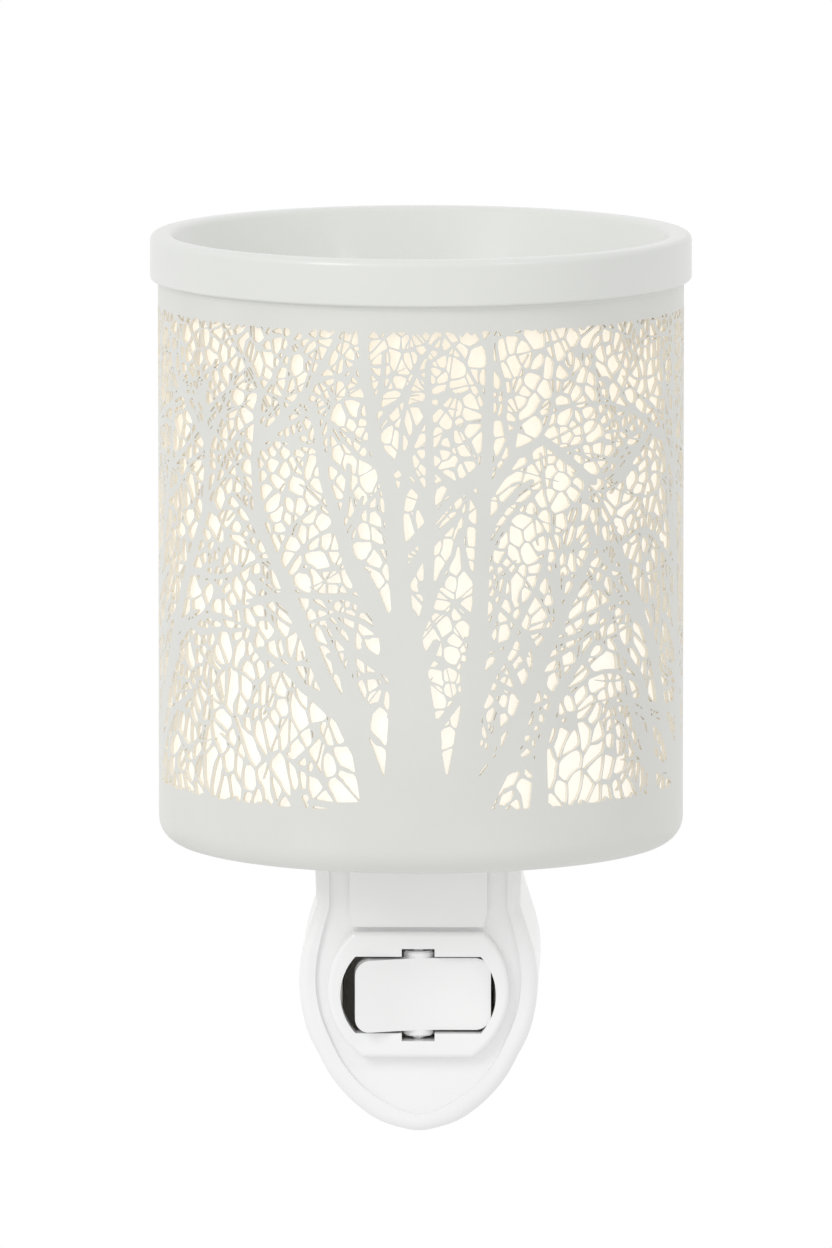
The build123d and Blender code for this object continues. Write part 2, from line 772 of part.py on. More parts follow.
# Load terminal: the bar's fulcrum in front, and behind it an arm up to the lamp's centre contact
holder_foot_z = shade_bottom_z - holder_foot_drop
contact_foot_z = holder_foot_z - tab_reach
contact_face_depth = axis_depth + strip_thickness / 2
arm_top_z = contact_foot_z + strip_thickness
with BuildPart() as terminal_load:
    with BuildSketch(tilted_plane(seesaw_depth, 0)):
        Circle(terminal_thickness / 2)
        with Locations((0, -(seesaw_depth - tail_depth) / 2)):
            Rectangle(terminal_thickness, seesaw_depth - tail_depth)
    extrude(amount=seesaw_half_width, both=True)
    with BuildSketch(side_plane()):
        profile(
            (tail_depth, -seesaw_half_width, 0),
            (tail_depth + strip_thickness, -seesaw_half_width, 0),
            (tail_depth + strip_thickness, arm_top_z, 0),
            (contact_face_depth, arm_top_z, 0),
            (contact_face_depth, contact_foot_z, 0),
            (tail_depth, contact_foot_z, 0),
        )
    extrude(amount=contact_pip_radius, both=True)
keep("terminal_load", terminal_load)

# Lampholder: an insulating sleeve with a flange under the neck's roof and a slot for the shell's tab
holder_floor_z = shade_bottom_z + holder_floor_rise
holder_top_z = shade_bottom_z + holder_top_rise
flange_bottom_z = roof_z - holder_flange_height
tab_inner = sqrt((screw_shell_radius - screw_shell_wall) ** 2 - tab_half_width**2)
tab_middle = (screw_shell_radius + tab_inner) / 2
with BuildPart() as lampholder_body:
    with BuildSketch(lamp_plane):
        profile(
            (holder_core_radius, holder_foot_z, 0),
            (holder_foot_radius, holder_foot_z, 0),
            (holder_foot_radius, flange_bottom_z, 0),
            (holder_flange_radius, flange_bottom_z, 0),
            (holder_flange_radius, roof_z, 0),
            (holder_radius, roof_z, 0),
            (holder_radius, holder_top_z, 0),
            (holder_bore_radius, holder_top_z, 0),
            (holder_bore_radius, holder_floor_z, 0),
            (holder_core_radius, holder_floor_z, 0),
        )
    revolve(axis=lamp_axis)
    with BuildSketch(level_plane(holder_foot_z)):
        with Locations((0, tab_middle)):
            Rectangle(
                2 * (tab_half_width + fit_clearance),
                screw_shell_radius - tab_inner + 2 * fit_clearance,
            )
    extrude(amount=holder_floor_z - holder_foot_z, mode=Mode.SUBTRACT)
keep("lampholder_body", lampholder_body)

# Screw shell: thin brass tube with a tab down through the holder
shell_bottom_z = holder_floor_z + screw_shell_lift
with BuildPart() as screw_shell:
    with BuildSketch(level_plane(shell_bottom_z)):
        Circle(screw_shell_radius)
        Circle(screw_shell_radius - screw_shell_wall, mode=Mode.SUBTRACT)
    extrude(amount=screw_shell_height)
    with BuildSketch(level_plane(contact_foot_z)):
        Circle(screw_shell_radius)
        Circle(screw_shell_radius - screw_shell_wall, mode=Mode.SUBTRACT)
        with Locations((0, screw_shell_radius)):
            Rectangle(2 * tab_half_width, screw_shell_radius, mode=Mode.INTERSECT)
    extrude(amount=shell_bottom_z - contact_foot_z)
keep("screw_shell", screw_shell)

# Centre contact: a pad with a raised pip on the holder's floor and a strip down through its core
with BuildPart() as centre_contact:
    with BuildSketch(level_plane(holder_floor_z)):
        Circle(contact_radius)
    extrude(amount=strip_thickness)
    with BuildSketch(level_plane(holder_floor_z + strip_thickness)):
        Circle(contact_pip_radius)
    extrude(amount=contact_height - strip_thickness)
    chamfer(centre_contact.edges().group_by(Axis.Z)[-1], contact_pip_radius / 2)
    with BuildSketch(level_plane(contact_foot_z)):
        Rectangle(2 * contact_pip_radius, strip_thickness)
    extrude(amount=holder_floor_z - contact_foot_z)
keep("centre_contact", centre_contact)

# Fibre washer and ring nut: they clamp the shade's floor down on the neck
nut_bottom_z = shade_floor_z + washer_thickness
with BuildPart() as fibre_washer:
    with BuildSketch(level_plane(shade_floor_z)):
        Circle(ring_nut_radius)
        Circle(holder_hole_radius, mode=Mode.SUBTRACT)
    extrude(amount=washer_thickness)
keep("fibre_washer", fibre_washer)

with BuildPart() as ring_nut:
    with BuildSketch(level_plane(nut_bottom_z)):
        Circle(ring_nut_radius)
        Circle(holder_radius + fit_clearance, mode=Mode.SUBTRACT)
        with PolarLocations(ring_nut_radius, ring_nut_notches):
            Circle(ring_nut_notch_radius, mode=Mode.SUBTRACT)
    extrude(amount=ring_nut_height)
keep("ring_nut", ring_nut)

# Lamp: contact tip, black insulator, brass cap, glass, stem and filament
lamp_z = holder_floor_z + contact_height + lamp_lift
insulator_z = lamp_z + lamp_tip_height
cap_z = insulator_z + lamp_insulator_height / 2
cap_top_z = cap_z + lamp_cap_height
glass_z = cap_top_z - glass_sink
insulator_radius = lamp_cap_radius - lamp_cap_wall - fit_clearance
with BuildPart() as bulb_contact:
    with BuildSketch(level_plane(lamp_z)):
        Circle(lamp_tip_radius)
    extrude(amount=lamp_tip_height)
    chamfer(bulb_contact.edges().group_by(Axis.Z)[0], lamp_tip_height / 2)
keep("bulb_contact", bulb_contact)

with BuildPart() as bulb_insulator:
    with BuildSketch(lamp_plane):
        profile(
            (0, insulator_z, 0),
            (insulator_radius * lamp_insulator_share, insulator_z, 0),
            (insulator_radius, cap_z, 0),
            (insulator_radius, insulator_z + lamp_insulator_height, 0),
            (0, insulator_z + lamp_insulator_height, 0),
        )
    revolve(axis=lamp_axis)
keep("bulb_insulator", bulb_insulator)

with BuildPart() as bulb_cap:
    with BuildSketch(level_plane(cap_z)):
        Circle(lamp_cap_radius)
        Circle(lamp_cap_radius - lamp_cap_wall, mode=Mode.SUBTRACT)
    extrude(amount=lamp_cap_height)
keep("bulb_cap", bulb_cap)

with BuildPart() as bulb_glass:
    with BuildSketch(lamp_plane):
        outside = [(glass_radius * r, glass_z + glass_height * h) for r, h in glass_shares]
        narrower = (glass_radius - glass_wall) / glass_radius
        shorter = (glass_height - glass_wall) / glass_height
        inside = [
            (glass_radius * r * narrower, glass_z + glass_height * h * shorter)
            for r, h in glass_shares
        ]
        profile(
            *[(r, z, 0) for r, z in outside],
            (0, outside[-1][1], 0),
            (0, inside[-1][1], 0),
            *[(r, z, 0) for r, z in inside[::-1]],
        )
    revolve(axis=lamp_axis)
keep("bulb_glass", bulb_glass)

with BuildPart() as bulb_stem:
    with BuildSketch(lamp_plane):
        profile(
            (0, glass_z, 0),
            (stem_foot_radius, glass_z, 0),
            (stem_top_radius, glass_z + stem_foot_radius, 0),
            (stem_top_radius, glass_z + stem_height, 0),
            (0, glass_z + stem_height, 0),
        )
    revolve(axis=lamp_axis)
keep("bulb_stem", bulb_stem)

with BuildPart() as filament:
    lead_z = glass_z + stem_height + lead_radius
    with BuildLine(lamp_plane) as wire:
        Polyline(
            (-stem_top_radius / 2, lead_z),
            (-lead_spread, lead_z + lead_height),
            (lead_spread, lead_z + lead_height),
            (stem_top_radius / 2, lead_z),
        )
    with BuildSketch(Plane(origin=wire.line @ 0, z_dir=wire.line % 0)):
        RegularPolygon(lead_radius, wire_sides)
    sweep(transition=Transition.RIGHT)
keep("filament", filament)

# Swivel plug: grip disc and hub, with slots for the blades and a groove for the retaining ring
groove_depth = collar_depth + collar_thickness + running_clearance
groove_width = ring_thickness + 2 * fit_clearance
groove_radius = hub_radius - ring_groove
hub_floor_depth = disc_thickness + hub_floor
line_x = blade_spacing / 2
neutral_x = -blade_spacing / 2
slot_thickness = blade_thickness + 2 * fit_clearance
carrier_depth = hub_end_depth - carrier_thickness
arm_depth = carrier_depth - slip_arm_thickness
with BuildPart() as swivel_disc:
    with BuildSketch(front_plane(0)):
        Circle(disc_radius)
    extrude(amount=disc_thickness)
    chamfer(swivel_disc.edges(), disc_edge_break)
    with BuildSketch(front_plane(disc_thickness)):
        Circle(hub_radius)
    extrude(amount=hub_length)
    with BuildSketch(front_plane(hub_floor_depth)):
        Circle(hub_bore_radius)
    extrude(amount=hub_end_depth - hub_floor_depth, mode=Mode.SUBTRACT)
    with BuildSketch(front_plane(groove_depth)):
        Circle(hub_radius + cut_overrun)
        Circle(groove_radius, mode=Mode.SUBTRACT)
    extrude(amount=groove_width, mode=Mode.SUBTRACT)
    with BuildSketch(front_plane(0)):
        with Locations((line_x, 0)):
            Rectangle(slot_thickness, line_blade_width + 2 * fit_clearance)
        with Locations((neutral_x, 0)):
            Rectangle(slot_thickness, neutral_blade_width + 2 * fit_clearance)
    extrude(amount=hub_floor_depth, mode=Mode.SUBTRACT)
keep("swivel_disc", swivel_disc)

with BuildPart() as retaining_ring:
    with BuildSketch(front_plane(groove_depth + fit_clearance)):
        Circle(ring_radius)
        Circle(groove_radius + fit_clearance, mode=Mode.SUBTRACT)
        with Locations((0, -ring_radius / 2)):
            Rectangle(ring_mouth, ring_radius, mode=Mode.SUBTRACT)
    extrude(amount=ring_thickness)
keep("retaining_ring", retaining_ring)


def blade(x, width, inner_depth):
    """One flat blade: chamfered tip with a hole, and a tail through the hub."""
    half = width / 2
    with BuildPart() as flat:
        with BuildSketch(Plane.YZ.offset(x)):
            profile(
                (-inner_depth, -half, 0),
                (blade_length - blade_chamfer, -half, 0),
                (blade_length, -half + blade_chamfer, 0),
                (blade_length, half - blade_chamfer, 0),
                (blade_length - blade_chamfer, half, 0),
                (-inner_depth, half, 0),
            )
            with Locations((blade_hole_reach, 0)):
                Circle(blade_hole_radius, mode=Mode.SUBTRACT)
        extrude(amount=blade_thickness / 2, both=True)
    return flat


keep("blade_line", blade(line_x, line_blade_width, hub_end_depth))
keep("blade_neutral", blade(neutral_x, neutral_blade_width, arm_depth))

# Contact carrier, slip ring and slip pin: they keep the circuit closed at any turn of the plug
with BuildPart() as contact_carrier:
    with BuildSketch(front_plane(carrier_depth)):
        Circle(hub_bore_radius - fit_clearance)
        Circle(slip_pin_radius + fit_clearance, mode=Mode.SUBTRACT)
        with Locations((line_x, 0)):
            Rectangle(slot_thickness, line_blade_width + 2 * fit_clearance, mode=Mode.SUBTRACT)
    extrude(amount=carrier_thickness)
keep("contact_carrier", contact_carrier)

with BuildPart() as slip_ring_line:
    with BuildSketch(front_plane(hub_end_depth)):
        Circle(slip_ring_outer)
        Circle(slip_ring_inner, mode=Mode.SUBTRACT)
    extrude(amount=slip_ring_thickness)
keep("slip_ring_line", slip_ring_line)

pin_face_depth = hub_end_depth + slip_pin_proud
arm_length = blade_spacing / 2 + blade_thickness / 2
with BuildPart() as slip_pin_neutral:
    with BuildSketch(front_plane(arm_depth)):
        Circle(slip_pin_radius)
    extrude(amount=pin_face_depth - arm_depth)
    with BuildSketch(front_plane(arm_depth)):
        with Locations((-arm_length / 2, 0)):
            Rectangle(arm_length, 2 * tab_half_width)
    extrude(amount=slip_arm_thickness)
keep("slip_pin_neutral", slip_pin_neutral)

# Line strip: from its foot on the slip ring straight to the line terminal
strip_face_x = -button_x - terminal_thickness / 2
brush_depth = hub_end_depth + slip_ring_thickness + running_clearance
with BuildPart() as line_strip:
    with BuildSketch(level_plane(0)):
        profile(
            (strip_face_x, axis_depth - base_rear_depth + running_clearance, 0),
            (strip_face_x, axis_depth - brush_depth, 0),
            (-slip_ring_outer, axis_depth - brush_depth, 0),
            (-slip_ring_outer, axis_depth - brush_depth - strip_thickness, 0),
            (strip_face_x - strip_thickness, axis_depth - brush_depth - strip_thickness, 0),
            (
                strip_face_x - strip_thickness,
                axis_depth - base_rear_depth + running_clearance,
                0,
            ),
        )
    extrude(amount=strip_half_width, both=True)
keep("line_strip", line_strip)

# Neutral strip: from its pad on the slip pin, forward under the holder and up beside the shell's tab
pad_depth = pin_face_depth + running_clearance
tab_face_depth = axis_depth - screw_shell_radius
with BuildPart() as neutral_strip:
    with BuildSketch(side_plane()):
        profile(
            (pad_depth, -strip_half_width, 0),
            (pad_depth + strip_thickness, -strip_half_width, 0),
            (pad_depth + strip_thickness, contact_foot_z - strip_thickness, 0),
            (tab_face_depth, contact_foot_z - strip_thickness, 0),
            (tab_face_depth, holder_foot_z - running_clearance, 0),
            (tab_face_depth - strip_thickness, holder_foot_z - running_clearance, 0),
            (tab_face_depth - strip_thickness, contact_foot_z, 0),
            (pad_depth, contact_foot_z, 0),
        )
    extrude(amount=tab_half_width, both=True)
keep("neutral_strip", neutral_strip)

# Files, one for each piece
os.makedirs("parts", exist_ok=True)
for name, solid in pieces.items():
    export_step(solid, f"parts/{name}.step")
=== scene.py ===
"""Looks and light for the plug-in wax melt warmer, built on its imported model.

Lengths are in millimetres, and MM turns them into metres, unless a comment says otherwise.
"""

import math
import random

import bmesh
import bpy
import numpy as np
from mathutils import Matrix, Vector
from mathutils.geometry import delaunay_2d_cdt


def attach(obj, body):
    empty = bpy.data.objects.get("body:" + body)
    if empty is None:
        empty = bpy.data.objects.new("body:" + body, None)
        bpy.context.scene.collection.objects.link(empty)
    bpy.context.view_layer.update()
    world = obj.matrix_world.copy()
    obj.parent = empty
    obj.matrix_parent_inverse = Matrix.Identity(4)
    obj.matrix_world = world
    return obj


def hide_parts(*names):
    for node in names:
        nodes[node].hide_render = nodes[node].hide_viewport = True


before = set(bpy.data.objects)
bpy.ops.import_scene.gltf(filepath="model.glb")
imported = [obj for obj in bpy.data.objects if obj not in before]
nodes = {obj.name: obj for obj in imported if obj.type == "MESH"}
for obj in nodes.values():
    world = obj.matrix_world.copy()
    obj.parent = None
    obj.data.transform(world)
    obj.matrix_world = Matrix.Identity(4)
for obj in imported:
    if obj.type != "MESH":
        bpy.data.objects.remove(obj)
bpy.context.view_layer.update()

MM = 0.001
# The lamp's upright axis stands at x 0 and this y, in front of the wall
AXIS_Y = -48.5


def linked(name, data):
    """A new object of this name in the scene, with this mesh, light or camera."""
    made = bpy.data.objects.new(name, data)
    bpy.context.collection.objects.link(made)
    return made


# Camera
# Its distance and height are in metres
CAMERA_DISTANCE = 2.5
CAMERA_HEIGHT = 0.384
CAMERA_TURN = math.radians(1.2)
CAMERA_TARGET = (-0.8, AXIS_Y, 57.5)
SENSOR = 36.0
FRAME_PIXELS = 1248
PIXEL_AT_TARGET = 0.162


def place_camera():
    """The camera at the photograph's viewing angle."""
    data = bpy.data.cameras.new("camera")
    camera = linked("camera", data)
    target = Vector(CAMERA_TARGET) * MM
    camera.location = Vector((
        CAMERA_DISTANCE * math.sin(CAMERA_TURN),
        AXIS_Y * MM - CAMERA_DISTANCE * math.cos(CAMERA_TURN),
        CAMERA_HEIGHT,
    ))
    camera.rotation_euler = (target - camera.location).to_track_quat("-Z", "Y").to_euler()
    data.sensor_fit = "VERTICAL"
    data.sensor_height = SENSOR
    data.lens = SENSOR * (target - camera.location).length / (FRAME_PIXELS * PIXEL_AT_TARGET * MM)
    data.clip_start = 0.05
    data.clip_end = 60.0
    bpy.context.scene.camera = camera


place_camera()


# Materials
# Noise scales are per metre and reliefs in metres
SPECKLE_ENDS = (0.35, 0.65)
SPECKLE_DETAIL = 3.0
RELIEF_STRENGTH = 0.5
RELIEF_DETAIL = 2.0
METAL_SPECKLE = 180.0
METAL_GRAIN = 400.0
METAL_RELIEF = 0.00001


def new_material(name):
    """A node material with its tree and its shader."""
    material = bpy.data.materials.new(name)
    material.use_nodes = True
    tree = material.node_tree
    return material, tree, tree.nodes["Principled BSDF"]


def new_node(tree, kind, values):
    """A new node with its sockets set, by their names or places."""
    node = tree.nodes.new(kind)
    for socket, value in values.items():
        node.inputs[socket].default_value = value
    return node


def speckled(tree, shader, low, high, speckle):
    """Base colour that drifts between two shades of one colour."""
    coords = tree.nodes.new("ShaderNodeTexCoord")
    noise = new_node(tree, "ShaderNodeTexNoise", {"Scale": speckle, "Detail": SPECKLE_DETAIL})
    ramp = tree.nodes.new("ShaderNodeValToRGB")
    for element, place, color in zip(ramp.color_ramp.elements, SPECKLE_ENDS, (low, high)):
        element.position = place
        element.color = (*color, 1)
    tree.links.new(coords.outputs["Object"], noise.inputs["Vector"])
    tree.links.new(noise.outputs["Fac"], ramp.inputs["Fac"])
    tree.links.new(ramp.outputs["Color"], shader.inputs["Base Color"])
    return coords


def bumped(tree, shader, coords, grain, relief):
    """Fine surface relief from noise."""
    noise = new_node(tree, "ShaderNodeTexNoise", {"Scale": grain, "Detail": RELIEF_DETAIL})
    bump = new_node(tree, "ShaderNodeBump", {"Distance": relief, "Strength": RELIEF_STRENGTH})
    tree.links.new(coords.outputs["Object"], noise.inputs["Vector"])
    tree.links.new(noise.outputs["Fac"], bump.inputs["Height"])
    tree.links.new(bump.outputs["Normal"], shader.inputs["Normal"])


def coated(name, low, high, roughness, speckle=60.0, grain=900.0, relief=0.00002, coat=0.0,
           coat_roughness=0.04):
    """Paint, glaze, glass or moulded plastic."""
    material, tree, shader = new_material(name)
    coords = speckled(tree, shader, low, high, speckle)
    bumped(tree, shader, coords, grain, relief)
    shader.inputs["Roughness"].default_value = roughness
    shader.inputs["Coat Weight"].default_value = coat
    shader.inputs["Coat Roughness"].default_value = coat_roughness
    return material


def metal(name, low, high, roughness):
    """Bare or plated metal."""
    material, tree, shader = new_material(name)
    coords = speckled(tree, shader, low, high, METAL_SPECKLE)
    bumped(tree, shader, coords, METAL_GRAIN, METAL_RELIEF)
    shader.inputs["Metallic"].default_value = 1.0
    shader.inputs["Roughness"].default_value = roughness
    return material


glaze = coated("dish_glaze", (0.76, 0.77, 0.74), (0.785, 0.795, 0.765), roughness=0.4,
               speckle=25.0, grain=240.0, relief=0.00003, coat=0.35, coat_roughness=0.12)
enamel = coated("shade_enamel", (0.73, 0.73, 0.695), (0.75, 0.755, 0.715), roughness=0.42,
                grain=1500.0, coat=0.12)
# The shade's cut walls: its enamel painted lighter and warmer, a painted glow standing in for the
# lit liner's light on them
painted_glow_edge = coated("shade_painted_glow_edge", (0.84, 0.80, 0.71), (0.87, 0.83, 0.74), roughness=0.6)
white_plastic = coated("housing_plastic", (0.935, 0.935, 0.935), (0.95, 0.95, 0.95), roughness=0.3,
                       grain=700.0, relief=0.00001, coat=0.35)
key_plastic = coated("rocker_plastic", (0.94, 0.94, 0.94), (0.955, 0.955, 0.955), roughness=0.22,
                     grain=500.0, relief=0.00001, coat=0.5)
holder_plastic = coated("holder_plastic", (0.76, 0.74, 0.68), (0.80, 0.78, 0.72), roughness=0.5)
fibre = coated("fibre_sheet", (0.30, 0.06, 0.03), (0.38, 0.09, 0.04), roughness=0.8)
black_glass = coated("black_insulator", (0.012, 0.012, 0.014), (0.02, 0.02, 0.022), roughness=0.2)
brass = metal("brass", (0.72, 0.52, 0.22), (0.80, 0.60, 0.28), roughness=0.28)
steel = metal("zinc_steel", (0.55, 0.55, 0.54), (0.64, 0.64, 0.63), roughness=0.34)
spring = metal("spring_steel", (0.42, 0.42, 0.42), (0.50, 0.50, 0.50), roughness=0.3)
nickel = metal("blade_nickel", (0.68, 0.66, 0.62), (0.76, 0.74, 0.70), roughness=0.24)
solder = metal("solder", (0.50, 0.50, 0.52), (0.60, 0.60, 0.62), roughness=0.45)
wire_metal = metal("filament_wire", (0.25, 0.24, 0.23), (0.32, 0.30, 0.28), roughness=0.4)

# The liner's painted glow turns from white to warm between two heights in metres, uneven by the
# drift
GLOW = 0.61
GLOW_HEIGHTS = (0.055, 0.108)
GLOW_COLORS = ((1.0, 0.96, 0.90, 1), (1.0, 0.92, 0.80, 1))
GLOW_DRIFT = 0.8


def frosted_light(name):
    """Frosted liner glowing by its own emission, painted light in place of the lamp's, white
    beside the lamp and warmer above.
    """
    material, tree, shader = new_material(name)
    coords = speckled(tree, shader, (0.52, 0.50, 0.45), (0.56, 0.54, 0.48), speckle=40.0)
    bumped(tree, shader, coords, grain=500.0, relief=0.00003)
    split = tree.nodes.new("ShaderNodeSeparateXYZ")
    rise = new_node(tree, "ShaderNodeMapRange",
                    {"From Min": GLOW_HEIGHTS[0], "From Max": GLOW_HEIGHTS[1]})
    cloud = new_node(tree, "ShaderNodeTexNoise", {"Scale": 28.0, "Detail": 1.0})
    drift = new_node(tree, "ShaderNodeMath", {1: GLOW_DRIFT, 2: -GLOW_DRIFT / 2})
    drift.operation = "MULTIPLY_ADD"
    total = tree.nodes.new("ShaderNodeMath")
    total.operation = "ADD"
    total.use_clamp = True
    glow = tree.nodes.new("ShaderNodeValToRGB")
    for element, color in zip(glow.color_ramp.elements, GLOW_COLORS):
        element.color = color
    tree.links.new(coords.outputs["Object"], split.inputs["Vector"])
    tree.links.new(split.outputs["Z"], rise.inputs["Value"])
    tree.links.new(coords.outputs["Object"], cloud.inputs["Vector"])
    tree.links.new(cloud.outputs["Fac"], drift.inputs[0])
    tree.links.new(rise.outputs["Result"], total.inputs[0])
    tree.links.new(drift.outputs["Value"], total.inputs[1])
    tree.links.new(total.outputs["Value"], glow.inputs["Fac"])
    tree.links.new(glow.outputs["Color"], shader.inputs["Emission Color"])
    # Emission paints the lamp's light onto the liner
    shader.inputs["Emission Strength"].default_value = GLOW
    shader.inputs["Roughness"].default_value = 0.6
    return material


def clear_glass(name):
    """Thin clear glass with a slight uneven haze."""
    material, tree, shader = new_material(name)
    shader.inputs["Base Color"].default_value = (1, 1, 1, 1)
    shader.inputs["Transmission Weight"].default_value = 1.0
    shader.inputs["IOR"].default_value = 1.45
    noise = new_node(tree, "ShaderNodeTexNoise", {"Scale": 60.0})
    haze = new_node(tree, "ShaderNodeMapRange", {"To Min": 0.01, "To Max": 0.04})
    tree.links.new(noise.outputs["Fac"], haze.inputs["Value"])
    tree.links.new(haze.outputs["Result"], shader.inputs["Roughness"])
    return material


liner_light = frosted_light("frosted_liner")
glass = clear_glass("lamp_glass")

dress = {
    "wax_dish": glaze, "diffuser_sleeve": liner_light, "bulb_glass": glass, "bulb_stem": glass,
    "bulb_cap": brass, "bulb_insulator": black_glass, "bulb_contact": solder,
    "filament": wire_metal, "lampholder_body": holder_plastic, "screw_shell": brass,
    "centre_contact": brass, "ring_nut": holder_plastic, "fibre_washer": fibre,
    "front_shell": white_plastic, "rear_shell": white_plastic, "housing_screws": steel,
    "rocker": key_plastic, "rocker_plunger": holder_plastic, "rocker_spring": spring,
    "contact_seesaw": brass, "switch_base": holder_plastic, "terminal_line": brass,
    "terminal_load": brass, "line_strip": brass, "neutral_strip": brass,
    "swivel_disc": white_plastic, "retaining_ring": spring, "blade_line": nickel,
    "blade_neutral": nickel, "contact_carrier": holder_plastic, "slip_ring_line": brass,
    "slip_pin_neutral": brass,
}
for name, material in dress.items():
    mesh = nodes[name].data
    mesh.materials.clear()
    mesh.materials.append(material)


# Pierced shade
# The sheet is worked out flat, with x round the shade and z up, and wrapped round the axis
SHADE_R = 42.5
WALL = 0.6
SHADE_BOTTOM = 22.3
SHADE_TOP = 113.3
CORNER = 4.1
SHEET_LOW = SHADE_BOTTOM + CORNER
HOLE_R = 10.8
PATTERN_LOW = 32.3
PATTERN_HIGH = 110.3
RISE = PATTERN_HIGH - PATTERN_LOW
AROUND = 2 * math.pi * SHADE_R
PANELS = 4
PANEL = AROUND / PANELS

# Limbs of one tree as (across, up, half width): shares of the panel's width, of the pattern's
# rise and of the panel's width
LIMBS = (
    ((0.02, 0.0, 0.125), (0.0, 0.07, 0.075), (-0.01, 0.23, 0.052), (-0.03, 0.4, 0.038)),
    ((-0.03, 0.4, 0.026), (-0.055, 0.65, 0.02), (-0.098, 0.77, 0.014), (-0.132, 0.99, 0.008)),
    ((-0.05, 0.36, 0.022), (-0.151, 0.5, 0.017), (-0.222, 0.685, 0.012), (-0.25, 0.84, 0.007)),
    ((0.03, 0.42, 0.012), (0.036, 0.66, 0.011), (0.03, 0.93, 0.006)),
    ((0.105, 0.0, 0.045), (0.136, 0.23, 0.024), (0.157, 0.44, 0.019), (0.166, 0.65, 0.016)),
    ((0.166, 0.65, 0.016), (0.176, 0.8, 0.012), (0.181, 0.98, 0.008)),
    ((0.166, 0.65, 0.013), (0.247, 0.74, 0.012), (0.319, 0.765, 0.01), (0.467, 0.67, 0.008)),
    ((0.131, 0.0, 0.04), (0.231, 0.128, 0.022), (0.31, 0.31, 0.017), (0.467, 0.54, 0.008)),
    ((-0.086, 0.0, 0.04), (-0.127, 0.128, 0.027), (-0.222, 0.27, 0.02), (-0.305, 0.43, 0.016)),
    ((-0.305, 0.43, 0.016), (-0.406, 0.593, 0.012), (-0.418, 0.72, 0.01), (-0.4, 0.86, 0.007)),
    ((-0.406, 0.75, 0.01), (-0.262, 0.87, 0.008), (-0.196, 0.97, 0.006)),
    ((0.306, 0.0, 0.026), (0.313, 0.128, 0.014), (0.361, 0.25, 0.011), (0.467, 0.34, 0.007)),
)

# Side branches: one for each stretch of limb, with ranges for what is random about them.
# Angles are in radians, and a share is one of the limb's own half width.
BRANCH_SPACING = 3.4
BRANCH_ANGLE = (0.35, 0.85)
BRANCH_SHARE = (0.1, 0.8)
BRANCH_HALF = (0.16, 1.1)
BRANCH_BEND = 0.16
BRANCH_STEPS = (3, 9)
BRANCH_STRIDE = (1.6, 3.8)
BRANCH_SWAY = 0.3
BRANCH_TAPER = 0.88

# Loose twigs, strewn over the pattern up to a little under its top
TWIGS = 220
TWIG_CLEAR = 6
TWIG_LEAN = 0.3
TWIG_ROOT = 0.13
TWIG_HALF = 0.1
TWIG_STEPS = (3, 6)
TWIG_STRIDE = (1.6, 3.2)
TWIG_SWAY = 0.22

dice = random.Random(7)


def limb_runs():
    """The limbs of all the trees, every other tree mirrored, as runs of (x, z, half width)."""
    runs = []
    for panel in range(PANELS):
        facing = -1 if panel % 2 else 1
        for limb in LIMBS:
            runs.append([
                (PANEL * (panel + facing * across), PATTERN_LOW + RISE * up, PANEL * half)
                for across, up, half in limb
            ])
    return runs


def grown(start, heading, steps, stride, sway, bend=0.0, taper=0.0):
    """A branch that wanders off from its first point (x, z, half width), as a run."""
    x, z, half = start
    run = [start]
    for _ in range(dice.randint(*steps)):
        length = dice.uniform(*stride)
        heading += bend + dice.uniform(-sway, sway)
        x += length * math.cos(heading)
        z += length * math.sin(heading)
        half = max(taper * half, TWIG_HALF)
        run.append((x, z, half))
    return run


def side_branch(limb):
    """A branch that leaves a limb at a random place."""
    k = dice.randrange(len(limb) - 1)
    a, b = limb[k], limb[k + 1]
    t = dice.random()
    x, z, half = (p + t * (q - p) for p, q in zip(a, b))
    side = dice.choice((-1, 1))
    heading = math.atan2(b[1] - a[1], b[0] - a[0]) + side * dice.uniform(*BRANCH_ANGLE)
    half = min(max(half * dice.uniform(*BRANCH_SHARE), BRANCH_HALF[0]), BRANCH_HALF[1])
    bend = dice.uniform(-BRANCH_BEND, BRANCH_BEND)
    return grown((x, z, half), heading, BRANCH_STEPS, BRANCH_STRIDE, BRANCH_SWAY, bend,
                 BRANCH_TAPER)


def branch_runs(limbs):
    """The side branches of all limbs, and then the loose twigs."""
    runs = []
    for limb in limbs:
        length = sum(math.hypot(b[0] - a[0], b[1] - a[1]) for a, b in zip(limb, limb[1:]))
        runs += [side_branch(limb) for _ in range(int(length / BRANCH_SPACING))]
    for _ in range(TWIGS):
        x = dice.uniform(-AROUND / 2, AROUND / 2)
        z = dice.uniform(PATTERN_LOW, PATTERN_HIGH - TWIG_CLEAR)
        heading = dice.uniform(TWIG_LEAN, math.pi - TWIG_LEAN)
        runs.append(grown((x, z, TWIG_ROOT), heading, TWIG_STEPS, TWIG_STRIDE, TWIG_SWAY))
    return runs


# A grid over the flat pattern. The pattern's fields are worked out on it
STEP = 0.125
COLUMNS = round(AROUND / STEP)
ROWS = int(RISE / STEP) + 1
STEP_X = AROUND / COLUMNS
STEP_Z = RISE / (ROWS - 1)
GRID_X = (np.arange(COLUMNS) + 0.5) * STEP_X - AROUND / 2
GRID_Z = PATTERN_LOW + np.arange(ROWS) * RISE / (ROWS - 1)
FAR = 9.0
LIMB_REACH = 8.0


